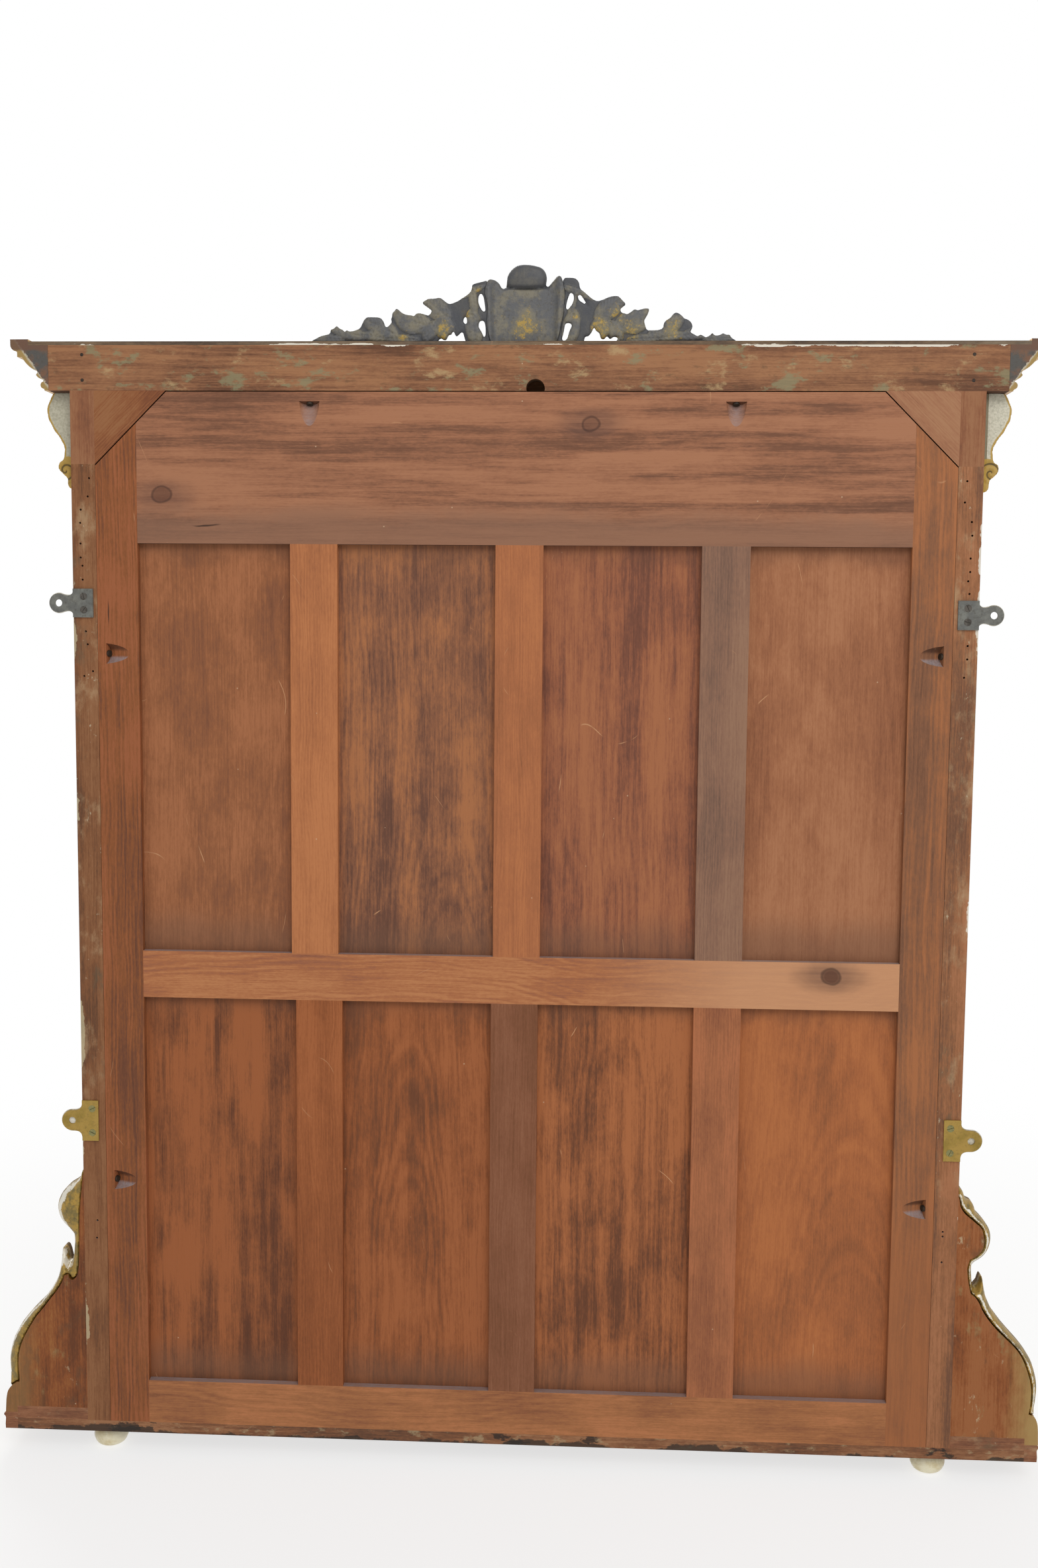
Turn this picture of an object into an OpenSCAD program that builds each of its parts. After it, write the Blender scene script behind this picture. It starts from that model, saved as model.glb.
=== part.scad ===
// Overmantel mirror with a framed and panelled back, a moulded cornice, a pierced
// crest, scroll wings and bun feet. All sizes are in millimetres.
// +Z is up. The glass faces -Y and the panelled back faces +Y. Left and right are
// as seen by someone facing the glass, so right is +X. The origin is on the shelf
// that the feet stand on, under the middle of the whole object.

/* [Glass] */
// Width of the glass plate, which sets the width of the mirror
glass_w = 1016; // [800:1:1300]
// Height of the glass plate, which sets the height of the mirror
glass_h = 1219; // [1050:1:1500]
// Thickness of the glass plate
glass_t = 6; // [3:0.5:8]
// Thickness of the silvering and its backing coat
silver_t = 0.4; // [0.2:0.1:1]
// Width of the wooden blocks between the glass and the posts
glass_side = 12.4; // [8:0.2:20]
// Height of the frame above the glass
glass_head = 47.5; // [36:0.5:70]
// How far the face frame covers the edge of the glass
glass_cover = 12; // [6:1:15]

/* [Backboard] */
// Thickness of the backboard's stiles, rails and muntins
board_t = 22; // [19:0.5:26]
// Width of a stile
stile_w = 51; // [40:0.5:70]
// Height of the top rail
top_rail_h = 182; // [140:1:220]
// Height of the middle rail
mid_rail_h = 59; // [40:1:80]
// Height of the middle rail's lower edge above the foot of the backboard
mid_rail_z = 557; // [450:1:650]
// Height of the bottom rail
bottom_rail_h = 56; // [40:1:80]
// Width of a muntin
muntin_w = 58; // [40:1:80]
// Thickness of a panel and of the tongues that share its groove
panel_t = 6; // [4:0.5:8]
// Depth of the panels' faces behind the faces of the stiles and rails
panel_set = 10; // [6:0.5:11]
// Depth of the groove that holds the panels
groove_deep = 8; // [5:0.5:10]

/* [Carcase] */
// Width of a side post, seen beside the backboard
post_w = 29.5; // [28:0.5:45]
// Depth of a side post
post_d = 52; // [46:0.5:70]
// Height and width of a corner block, and height of the top rail's lapped ends
corner_leg = 88; // [60:1:110]
// Depth of the top rail's lapped ends
lap_d = 30; // [26:0.5:34]
// Height of the rail under the glass
sill_h = 36; // [30:1:46]

/* [Face frame] */
// Thickness of the gilded face frame
face_t = 23; // [18:0.5:30]
// Width of the moulding round the glass
moulding_w = 20; // [16:0.5:24]
// How far that moulding stands out from the face frame
moulding_up = 16; // [10:0.5:22]
// Width of a pilaster and of the console over it
pilaster_w = 28; // [18:0.5:30]
// Thickness of a pilaster
pilaster_t = 10; // [6:0.5:16]
// Height of the block at the foot of a pilaster
pilaster_foot_h = 60; // [30:1:90]
// Thickness of the block at the foot of a pilaster
pilaster_foot_t = 18; // [17:0.5:26]

/* [Cornice] */
// How far the cornice stands out from the posts and from the face frame
cornice_out = 72.5; // [60:0.5:90]
// Height of the boards behind the cornice moulding
cornice_h = 54; // [46:0.5:70]
// Thickness of the cornice's back board
cornice_back_t = 20; // [20:0.5:25]
// How far the cornice's back board reaches past each post
cornice_back_reach = 26; // [16:0.5:30]
// Thickness of the boards of the box inside the cornice
box_t = 26; // [20:0.5:28]
// Thickness of the top board
top_board_t = 4.5; // [3:0.5:8]
// Width of the carved edge in front of and beside the top board
edge_w = 22; // [16:0.5:26]
// How far the carved edge stands above the top board
edge_up = 2.5; // [1:0.5:6]
// Diameter of the finger hole in the lower edge of the back board
finger_hole_d = 22.6; // [18:0.2:28]
// Distance of the finger hole from the middle
finger_hole_x = 16.5; // [0:0.5:60]

/* [Crest] */
// Height of the crest above the top board
crest_h = 92; // [70:1:120]
// Width of the crest over both garlands
crest_w = 518; // [440:1:620]
// Thickness of the garlands
garland_t = 10; // [8:0.5:24]
// Thickness of the shield
shield_t = 20; // [10:0.5:30]
// Distance of the crest's back from the back plane
crest_set = 6; // [2:0.5:20]

/* [Consoles] */
// Height of a console
console_h = 118; // [90:1:140]
// How far a console stands out
console_out = 35.5; // [25:0.5:45]
// Width of a side console
side_console_w = 40; // [20:0.5:50]
// Distance of a side console's back from the back plane
side_console_set = 18; // [5:0.5:22]

/* [Wings] */
// How far a wing stands out from its post at the foot
wing_out = 109; // [80:1:150]
// Height of a wing
wing_h = 335; // [280:1:450]
// Thickness of the wooden wing board
wing_board_t = 22; // [14:0.5:25]
// Thickness of the gilded carving in front of it
wing_carving_t = 24; // [12:0.5:30]
// Height of the batten let into the foot of the wing
batten_h = 16; // [10:0.5:24]
// Thickness of the batten
batten_t = 9; // [5:0.5:12]

/* [Plinth and feet] */
// Depth of the plinth from back to front, with its moulding
plinth_d = 130; // [110:1:150]
// Thickness of the plinth board
plinth_t = 14.5; // [10:0.5:22]
// Width of the plinth moulding
plinth_mould_w = 18; // [12:0.5:24]
// Height of the plinth moulding
plinth_mould_h = 22; // [19:0.5:30]
// Height of a bun foot
foot_h = 30; // [20:0.5:45]
// Diameter of a bun foot
foot_d = 44; // [36:0.5:56]
// Distance of a foot's middle from the end of the plinth
foot_inset_x = 131; // [40:1:200]
// Distance of a foot's middle from the plinth's back and front
foot_inset_y = 32; // [28:0.5:40]

/* [Hanging plates] */
// Thickness of a steel plate
steel_t = 2.5; // [2.4:0.1:4]
// Width of a steel plate's body on the post
steel_body_w = 25; // [22:0.5:28]
// Height of a steel plate's body
steel_body_h = 35; // [32:0.5:45]
// Radius of the eye at a steel plate's outer end
eye_r = 11.5; // [9:0.5:13]
// Distance of the eye's middle from the post's side
eye_out = 17.6; // [15:0.2:22]
// Diameter of the hanging holes
hang_hole_d = 8.8; // [6:0.2:10]
// Distance of the right steel plate's eye below the top of the frame
steel_drop_right = 256.5; // [150:0.5:400]
// Distance of the left steel plate's eye below the top of the frame
steel_drop_left = 263.5; // [150:0.5:400]
// Thickness of a brass plate
brass_t = 2; // [2:0.1:2.4]
// Width of a brass plate's body on the post
brass_body_w = 21; // [18:0.5:26]
// Height of a brass plate's body
brass_body_h = 52; // [46:0.5:60]
// Radius of a brass plate's round end
tongue_r = 13; // [10:0.5:14]
// Distance of the round end's middle from the post's side
tongue_out = 12.6; // [10:0.2:18]
// Height of the brass plates' middle above the tops of the wings
brass_rise = 61.5; // [30:0.5:200]
// Thickness of the gesso on the front of the plates
coat_t = 1.2; // [0.5:0.1:2]

/* [Screws and nails] */
// Diameter of a plate screw's head
screw_head_d = 9; // [7:0.5:10]
// Diameter of a plate screw's shank
screw_d = 4.5; // [3.5:0.1:5]
// Length of a plate screw
screw_l = 25; // [18:0.5:32]
// Distance between the two screws of a steel plate
steel_screw_pitch = 16.5; // [12:0.5:20]
// Distance between the two screws of a brass plate
brass_screw_pitch = 31; // [24:0.5:36]
// Width of the gouged pockets round the backboard
pocket_d = 26; // [20:0.5:30]
// Depth of a pocket at its deep end
pocket_deep = 9; // [7:0.5:11]
// Length of a pocket screw
pocket_screw_l = 38; // [30:0.5:40]
// Length of a nail in the cornice's back board
nail_l = 45; // [35:0.5:48]

/* [Hidden] */
$fn = 48;

// Play between the backboard and the posts, and over the backboard
side_gap = 0.4;
head_gap = 1.2;
// Gap along the slanted edge of a corner block
corner_gap = 1.5;
// Play on each face of a tongue or panel in its groove, and at the panels' edges
fit_gap = 0.2;
panel_play = 1;
// Play behind the silvering, round a screw or nail in its hole, and where two boards
// of the cornice's box meet
rail_gap = 0.6;
screw_gap = 0.1;
box_gap = 0.2;

// The whole frame's height, from the setting blocks under the glass upwards
setting_t = 2;
glass_z = sill_h + setting_t;
frame_h = glass_z + glass_h + glass_head;

// Backboard. Each muntin stands a little off its even place.
backboard_h = frame_h - head_gap;
half_board = glass_w / 2 + glass_side - side_gap;
stile_in = half_board - stile_w;
mid_rail_top = mid_rail_z + mid_rail_h;
top_rail_z = backboard_h - top_rail_h;
muntin_pitch = (2 * stile_in + muntin_w) / 4;
muntin_upper_x = [1 - muntin_pitch, 1, 3 + muntin_pitch];
muntin_lower_x = [1 - muntin_pitch, 3, muntin_pitch - 2];
muntin_upper_shades = ["#9a6038", "#94582f", "#a0673c"];
muntin_lower_shades = ["#875234", "#6c4632", "#8a5636"];

// Carcase and face frame. Depths are counted forward from the back plane.
post_in = glass_w / 2 + glass_side;
post_out = post_in + post_w;
face_front = post_d + face_t;
frame_z = foot_h + plinth_t;
y_back = (face_front + cornice_out - steel_t) / 2;

// Glass
glass_back = post_d - glass_t - silver_t;
sight_x = glass_w / 2 - glass_cover;
sight_bottom = glass_z + glass_cover;
sight_top = glass_z + glass_h - glass_cover;
lip_w = 5;
lip_gap = 1;
block_l = 40;
block_rows = 4;

console_z = frame_h - console_h;

// Plinth
plinth_past = 1;
plinth_half = post_out + wing_out + plinth_past;
plinth_in = plinth_half - plinth_mould_w;
plinth_top = plinth_mould_h - plinth_t;
mould_front_in = plinth_d - plinth_mould_w;

// Cornice
edge_r = 8;
edge_step = 0.5;
top_board_out = cornice_out - edge_w;
nail_d = 2.2;
nail_head_d = 4;
nail_head_t = 1;

// Plates, screws and nails
steel_z_right = frame_h - steel_drop_right;
steel_z_left = frame_h - steel_drop_left;
brass_z = wing_h + brass_rise;
steel_screw_in = 13.5;
brass_screw_in = 13;
head_t = brass_t;
slot_w = 0.9;
slot_deep = 0.9;
coat_over = 1;
pocket_r = pocket_d / 2;
pocket_tilt = 19;
pocket_side_set = 13;
pocket_top_set = 14.3;
pocket_top_x = 256.5;
pocket_right_z = [320, frame_h - 318];
pocket_left_z = [308, frame_h - 313];
pocket_run = 60;
pocket_screw_d = 4;
pocket_head_d = 8;
pocket_head_t = 2.5;
pocket_screw_line = 4.5;
old_hole_d = 2.6;
old_hole_deep = 12;
// The old screw holes of earlier plates: distance in from the post's side, and height,
// which counts from the top of the frame where it is negative
old_holes_right = [[22, -105], [20, -127], [11, -143], [10, -159], [10, -184], [10, -201], [12, -211],
    [12, -228], [15, -291], [17, -307], [23, -340], [12, -346], [17, 266], [16, 243]];
old_holes_left = [[19, -105], [21, -130], [12, -153], [11, -169], [12, -196], [12, -212], [14, -223],
    [12, -238], [12, -300], [12, -316], [15, -338], [18, 280], [18, 274], [18, 241]];

// Points of an arc about c, from angle a0 to angle a1
function arc(c, r, a0, a1, n = 8) =
    [for (i = [0:n]) let (a = a0 + (a1 - a0) * i / n) c + r * [cos(a), sin(a)]];

// A point on the curve from b to c, with a before it and d after it
function curve_point(a, b, c, d, t) =
    0.5 * (2 * b + (c - a) * t + (2 * a - 5 * b + 4 * c - d) * t * t
        + (3 * b - a - 3 * c + d) * t * t * t);

// A smooth line through the points p, with n steps between two of them
function smooth(p, n = 4) = let (m = len(p) - 1) concat(
    [for (i = [0:m - 1], k = [0:n - 1])
        curve_point(p[max(i - 1, 0)], p[i], p[i + 1], p[min(i + 2, m)], k / n)],
    [p[m]]);

// The points p with their first and second values multiplied
function scaled(p, sx, sz) = [for (q = p) [q[0] * sx, q[1] * sz]];

// The largest of the points' values number k, and the points p brought to a width and height
function reach(p, k) = max([for (q = p) q[k]]);
function sized(p, w, h) = scaled(p, w / reach(p, 0), h / reach(p, 1));

// A box between pairs of values: X, depth and height above the foot of the frame
module block(x, d, z)
    translate([x[0], y_back - d[1], frame_z + z[0]])
        cube([x[1] - x[0], d[1] - d[0], z[1] - z[0]]);

// An outline in X and height, made solid from one depth over a thickness
module slab(depth, thick)
    translate([0, y_back - depth, frame_z]) rotate([90, 0, 0]) linear_extrude(thick) children();

// Draws its children on the right for 1 and mirrored on the left for -1
module on_side(side) mirror([side < 0 ? 1 : 0, 0, 0]) children();

// ---- Backboard ----

module groove(x, z) block(x, [panel_set - fit_gap, panel_set + panel_t + fit_gap], z);

module tongue(x, z) block(x, [panel_set, panel_set + panel_t], z);

// What the slanted corners of the backboard lose to the corner blocks
module corner_cut() {
    leg = corner_leg + corner_gap * sqrt(2);
    slab(-1, board_t + 2) polygon([
        [post_in - leg - 1, frame_h + 1], [post_in + 1, frame_h - leg - 1], [post_in + 1, frame_h + 1]]);
}

// A pocket's own frame: local +X points along its screw, local Y = 0 is its deepest line
module at_side_pocket(z)
    translate([half_board - pocket_side_set, y_back - pocket_deep, frame_z + z])
        rotate([0, 0, -pocket_tilt]) children();

module at_top_pocket(x)
    translate([x, y_back - pocket_deep, frame_z + backboard_h - pocket_top_set])
        rotate([0, -90, 0]) rotate([0, 0, -pocket_tilt]) children();

// The gouged pocket and the hole for its screw
module pocket() {
    translate([-pocket_run, pocket_r, 0]) rotate([0, 90, 0]) cylinder(h = pocket_run, r = pocket_r);
    translate([-1, pocket_screw_line, 0]) rotate([0, 90, 0])
        cylinder(h = pocket_screw_l + 2, d = pocket_screw_d + 2 * screw_gap, $fn = 24);
}

module pocket_screw() {
    translate([0, pocket_screw_line, 0]) rotate([0, 90, 0])
        cylinder(h = pocket_screw_l, d = pocket_screw_d, $fn = 24);
    difference() {
        translate([-pocket_head_t, pocket_screw_line, 0]) rotate([0, 90, 0])
            cylinder(h = pocket_head_t, d = pocket_head_d, $fn = 24);
        translate([-pocket_head_t - 1, pocket_screw_line - slot_w / 2, -pocket_head_d])
            cube([slot_deep + 1, slot_w, 2 * pocket_head_d]);
    }
}

module backboard_stile(side) color("#7d4a2e") on_side(side) difference() {
    block([stile_in, half_board], [0, board_t], [0, backboard_h]);
    groove([stile_in - 1, stile_in + groove_deep], [-1, backboard_h + 1]);
    corner_cut();
    for (z = side > 0 ? pocket_right_z : pocket_left_z) at_side_pocket(z) pocket();
}

// A rail between the stiles from z[0] to z[1], grooved below, above or both
module backboard_rail(z, below, above) {
    reach = stile_in + groove_deep - fit_gap;
    difference() {
        union() {
            block([-stile_in, stile_in], [0, board_t], z);
            tongue([-reach, reach], z);
        }
        if (below) groove([-reach - 1, reach + 1], [z[0] - 1, z[0] + groove_deep]);
        if (above) groove([-reach - 1, reach + 1], [z[1] - groove_deep, z[1] + 1]);
    }
}

module backboard_top_rail() color("#8a5232") difference() {
    backboard_rail([top_rail_z, backboard_h], true, false);
    for (side = [-1, 1]) {
        on_side(side) corner_cut();
        on_side(side) at_top_pocket(pocket_top_x) pocket();
    }
}

module backboard_mid_rail() color("#a8683f") backboard_rail([mid_rail_z, mid_rail_top], true, true);

module backboard_bottom_rail() color("#84502f") backboard_rail([0, bottom_rail_h], false, true);

// A muntin about x, between the rails at z[0] and z[1]
module muntin(x, z) {
    reach = groove_deep - fit_gap;
    difference() {
        union() {
            block([x - muntin_w / 2, x + muntin_w / 2], [0, board_t], z);
            tongue([x - muntin_w / 2, x + muntin_w / 2], [z[0] - reach, z[1] + reach]);
        }
        for (side = [-1, 1]) {
            translate([x, 0, 0]) on_side(side)
                groove([muntin_w / 2 - groove_deep, muntin_w / 2 + 1],
                    [z[0] - groove_deep - 1, z[1] + groove_deep + 1]);
        }
    }
}

module upper_muntin(i) color(muntin_upper_shades[i])
    muntin(muntin_upper_x[i], [mid_rail_top, top_rail_z]);

module lower_muntin(i) color(muntin_lower_shades[i])
    muntin(muntin_lower_x[i], [bottom_rail_h, mid_rail_z]);

// The row of panels between the muntins at the places mx, from z[0] to z[1]
module panels(mx, z) {
    reach = groove_deep - panel_play;
    for (i = [0:len(mx)]) {
        x0 = i == 0 ? -stile_in : mx[i - 1] + muntin_w / 2;
        x1 = i == len(mx) ? stile_in : mx[i] - muntin_w / 2;
        tongue([x0 - reach, x1 + reach], [z[0] - reach, z[1] + reach]);
    }
}

module panels_upper() color("#8c5635") panels(muntin_upper_x, [mid_rail_top, top_rail_z]);

module panels_lower() color("#8c5635") panels(muntin_lower_x, [bottom_rail_h, mid_rail_z]);

// ---- Carcase ----

// The screws of the right side's plates: X, height and plate thickness
function steel_screws(z) =
    [for (s = [-1, 1]) [post_out - steel_screw_in, z + s * steel_screw_pitch / 2, steel_t]];
function brass_screws() =
    [for (s = [-1, 1]) [post_out - brass_screw_in, brass_z + s * brass_screw_pitch / 2, brass_t]];
function plate_screws_on(side) =
    concat(steel_screws(side > 0 ? steel_z_right : steel_z_left), brass_screws());

// A straight hole or pin into the back at X and height, from a depth over a length
module into_back(x, z, depth, long, d, end_d = 0)
    translate([x, y_back - depth, frame_z + z]) rotate([90, 0, 0])
        cylinder(h = long, d1 = d, d2 = end_d > 0 ? end_d : d, $fn = 32);

module post(side) color("#7a4a30") on_side(side) difference() {
    block([post_in, post_out], [0, post_d], [0, frame_h]);
    block([post_in - 1, post_out + 1], [-1, lap_d], [frame_h - corner_leg, frame_h + 1]);
    for (s = plate_screws_on(side)) into_back(s[0], s[1], -1, screw_l + 2, screw_d + 2 * screw_gap);
    for (z = side > 0 ? pocket_right_z : pocket_left_z) at_side_pocket(z) pocket();
    for (h = side > 0 ? old_holes_right : old_holes_left)
        into_back(post_out - h[0], h[1] < 0 ? frame_h + h[1] : h[1], -1, old_hole_deep + 1, old_hole_d);
}

// The rail behind the head of the glass. Its ends are lapped over the posts.
module frame_top_rail() color("#6e4028") {
    z = [frame_h - corner_leg, frame_h];
    block([-post_in, post_in], [board_t, glass_back - rail_gap], z);
    for (side = [-1, 1]) on_side(side) block([post_in - 1, post_out], [board_t, lap_d], z);
    for (side = [-1, 1]) on_side(side) block([post_in, post_out], [0, lap_d], z);
}

module frame_sill() color("#6e4028")
    block([-post_in, post_in], [board_t, post_d], [0, sill_h]);

module corner_block(side) color("#96603e") on_side(side) slab(0, board_t)
    polygon([[post_in - corner_leg, frame_h], [post_in, frame_h - corner_leg], [post_in, frame_h]]);

// ---- Face frame and glass ----

module face_stile(side) color("#b8923e") on_side(side)
    block([sight_x, post_out], [post_d, face_front], [0, frame_h]);

module face_top_rail() color("#b8923e")
    block([-sight_x, sight_x], [post_d, face_front], [sight_top, frame_h]);

module face_bottom_rail() color("#b8923e")
    block([-sight_x, sight_x], [post_d, face_front], [0, sight_bottom]);

// The section of the moulding round the glass: distance out from the sight edge, and
// distance forward from the face frame. Its lip turns back to the glass.
moulding_section = concat(
    [[-lip_w, lip_gap - face_t], [0, lip_gap - face_t], [0, 0], [moulding_w, 0], [moulding_w, 4]],
    smooth([[moulding_w - 0.5, 5], [moulding_w - 1.5, moulding_up - 5], [moulding_w - 5.5, moulding_up],
        [moulding_w - 10, moulding_up - 2], [moulding_w - 13, moulding_up - 6]]),
    smooth([[4, moulding_up - 8], [1.5, 4], [-2, 1]]),
    [[-2, -1], [-lip_w, -2]]);

// One mitred bar of the moulding over a sight edge of the given length. The edge lies
// on local X, the bar's width runs up and it stands out towards -Y.
module moulding_bar(long) intersection() {
    translate([-long, 0, 0]) rotate([90, 0, 90]) linear_extrude(2 * long)
        polygon([for (p = moulding_section) [-p[1], p[0]]]);
    rotate([90, 0, 0]) translate([0, 0, -2 * face_t]) linear_extrude(4 * face_t) polygon([
        [lip_w - long / 2, -lip_w], [long / 2 - lip_w, -lip_w],
        [long / 2 + moulding_w, moulding_w], [-long / 2 - moulding_w, moulding_w]]);
}

module at_sight_edge(x, z, turn)
    translate([x, y_back - face_front, frame_z + z]) rotate([0, turn, 0]) children();

sight_middle = (sight_top + sight_bottom) / 2;
sight_h = sight_top - sight_bottom;

module frame_moulding_side(side) color("#c9a24a")
    at_sight_edge(side * sight_x, sight_middle, side * 90) moulding_bar(sight_h);

module frame_moulding_top() color("#c9a24a") at_sight_edge(0, sight_top, 0) moulding_bar(2 * sight_x);

module frame_moulding_bottom() color("#c9a24a")
    at_sight_edge(0, sight_bottom, 180) moulding_bar(2 * sight_x);

// A fluted pilaster on a plain foot, from the plinth up to its console
module pilaster(side) color("#bd9540") on_side(side) {
    flutes = 3;
    flute_r = pilaster_w / 12;
    foot_end = 10;
    x = [post_out - pilaster_w, post_out];
    block(x, [face_front, face_front + pilaster_foot_t], [0, pilaster_foot_h]);
    difference() {
        block(x, [face_front, face_front + pilaster_t], [pilaster_foot_h - 1, console_z]);
        for (i = [1:flutes])
            translate([x[0] + i * pilaster_w / (flutes + 1), y_back - face_front - pilaster_t,
                    frame_z + pilaster_foot_h + foot_end])
                cylinder(h = console_z - pilaster_foot_h - 2 * foot_end, r = flute_r, $fn = 24);
    }
}

module mirror_glass() color("#c8d4d8")
    block([-glass_w / 2, glass_w / 2], [post_d - glass_t, post_d], [glass_z, glass_z + glass_h]);

module silvering() color("#5c4c48")
    block([-glass_w / 2, glass_w / 2], [glass_back, post_d - glass_t], [glass_z, glass_z + glass_h]);

// Wooden blocks that hold the glass: L-shaped ones down both sides, flat ones under it
module glass_blocks() color("#9c7048") {
    arm = 8;
    deep = 12;
    for (side = [-1, 1], i = [0:block_rows - 1]) {
        z = glass_z + glass_h * (i + 0.5) / block_rows;
        on_side(side) block([glass_w / 2, post_in], [glass_back - deep, post_d], [z, z + block_l]);
        on_side(side)
            block([glass_w / 2 - arm, glass_w / 2], [glass_back - deep, glass_back], [z, z + block_l]);
    }
    for (i = [-1:1])
        block([i * glass_w / 3 - block_l / 2, i * glass_w / 3 + block_l / 2], [post_d - glass_t, post_d],
            [sill_h, glass_z]);
}

// ---- Cornice ----

module nail_places() for (side = [-1, 1], z = [0.23, 0.79])
    on_side(side) translate([post_out - 0.6 * box_t, y_back, frame_z + frame_h + z * cornice_h])
        rotate([90, 0, 0]) children();

module nail_hole() cylinder(h = nail_l + 1, d = nail_d + 2 * screw_gap, $fn = 24);

module cornice_back_board() color("#87573a") difference() {
    reach = post_out + cornice_back_reach;
    block([-reach, reach], [0, cornice_back_t], [frame_h, frame_h + cornice_h]);
    into_back(-finger_hole_x, frame_h + 2.8, -1, cornice_back_t + 2, finger_hole_d);
    for (side = [-1, 1]) on_side(side) at_top_pocket(pocket_top_x) pocket();
    nail_places() {
        nail_hole();
        translate([0, 0, -1]) cylinder(h = nail_head_t + 1, d = nail_head_d + 2 * screw_gap, $fn = 24);
    }
}

// Three boards inside the cornice: one along the front and one down each side
module cornice_box() color("#7d5236") difference() {
    z = [frame_h, frame_h + cornice_h];
    front_back = face_front - box_t;
    union() {
        block([-post_out, post_out], [front_back, face_front], z);
        for (side = [-1, 1])
            on_side(side) block([post_out - box_t, post_out], [cornice_back_t, front_back - box_gap], z);
    }
    nail_places() nail_hole();
}

module cornice_nails() color("#4a4440") nail_places() {
    cylinder(h = nail_l, d = nail_d, $fn = 24);
    cylinder(h = nail_head_t, d = nail_head_d, $fn = 24);
}

module cornice_top_board() color("#6f6a5c")
    block([-post_out - top_board_out, post_out + top_board_out], [0, face_front + top_board_out],
        [frame_h + cornice_h, frame_h + cornice_h + top_board_t]);

// The cornice's section: distance out from the face of the frame, and height above its
// underside. From below: a bead, a small ovolo, a large ovolo, a fillet and the carved edge.
cornice_section = concat(
    sized(concat([[0, 0], [31, 0]], arc([31.5, 6.5], 4.5, -90, 90), [[32.5, 11], [32.5, 13.5]],
        arc([32.5, 23.5], 10, -80, 0),
        smooth([[43, 24.5], [48.5, 28], [54.5, 34], [58, 40]]), [[64, 40], [64, 46.5]]),
        cornice_out - edge_r - edge_step, cornice_h - edge_r + edge_step),
    arc([cornice_out - edge_r, cornice_h + edge_step], edge_r, -80, 0),
    [[cornice_out, cornice_h + top_board_t + edge_up], [top_board_out, cornice_h + top_board_t + edge_up],
        [top_board_out, cornice_h], [0, cornice_h]]);

module cornice_front_moulding() color("#b58f40") intersection() {
    // The section runs along X, its first value towards -Y
    long = 2 * (post_out + cornice_out);
    translate([-long / 2, y_back - face_front, frame_z + frame_h]) rotate([90, 0, 90])
        linear_extrude(long) polygon([for (p = cornice_section) [-p[0], p[1]]]);
    translate([0, y_back - face_front, frame_z + frame_h - 1]) linear_extrude(2 * cornice_h) polygon([
        [-post_out, 0], [post_out, 0],
        [post_out + cornice_out, -cornice_out], [-post_out - cornice_out, -cornice_out]]);
}

// A return runs from the back plane to the mitre, notched for the end of the back board
module cornice_return(side) color("#b58f40") on_side(side) difference() {
    intersection() {
        translate([post_out, y_back, frame_z + frame_h]) rotate([90, 0, 0])
            linear_extrude(face_front + cornice_out) polygon(cornice_section);
        translate([post_out, y_back, frame_z + frame_h - 1]) linear_extrude(2 * cornice_h) polygon([
            [0, 0], [cornice_out, 0], [cornice_out, -face_front - cornice_out], [0, -face_front]]);
    }
    block([post_out - 1, post_out + cornice_back_reach], [-1, cornice_back_t],
        [frame_h - 1, frame_h + cornice_h]);
}

// ---- Crest ----

// Half-outlines of the crest: distance from the middle, and height above the top board.
// The two garlands were carved by hand and differ.
shield_right = [[38, 0], [41, 10], [43, 22], [42.5, 33], [42, 42], [44.5, 52], [46, 58], [42, 71.5],
    [36, 72.5], [32.5, 71.5], [28.5, 68], [26, 63.5], [23, 62.3], [20.5, 64.5], [19.5, 70], [18.5, 77],
    [14, 83.5], [7.5, 88.5], [0, 90]];
shield_left = [[0, 90], [8, 89.5], [15, 88.3], [22, 86.3], [26.5, 81.5], [28.4, 75], [27.4, 68.5],
    [28, 65.3], [31, 65.3], [35, 70], [41, 76], [46, 75], [50, 60], [50.5, 51], [49.5, 43], [49, 33],
    [46, 20], [44, 9], [41, 0]];
garland_right_out = [[43.5, 71], [52, 69], [59, 67.2], [61, 65], [62, 59], [67, 54], [74, 50], [80, 46.8],
    [87, 44.5], [91, 45.5], [95, 48.5], [100, 51.5], [106, 50.2], [113, 50], [117, 48.5], [120.5, 45.5],
    [117, 42.5], [112, 39], [109.5, 36.5], [110.5, 33.5], [113, 31.2], [118, 32.3], [125, 33.7], [129, 32],
    [130.5, 30], [134, 31], [141, 32], [146, 34.5], [150, 38], [152.5, 39], [154, 37], [157, 34],
    [157.5, 30], [158.6, 27], [158, 23.5], [160.5, 19.5], [163.5, 17.5], [166, 19], [168, 24.5], [172, 28.3],
    [180, 29], [187, 29], [190.5, 26.5], [193.5, 22], [195.5, 17.8], [199, 15], [203, 13.3], [209, 12.6],
    [212, 14], [214.5, 12], [217, 14.4], [221, 16], [224.5, 19], [227, 16.5], [232, 14.3], [232.5, 11],
    [238, 8.5], [244, 7], [250, 4], [259, 0]];
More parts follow.
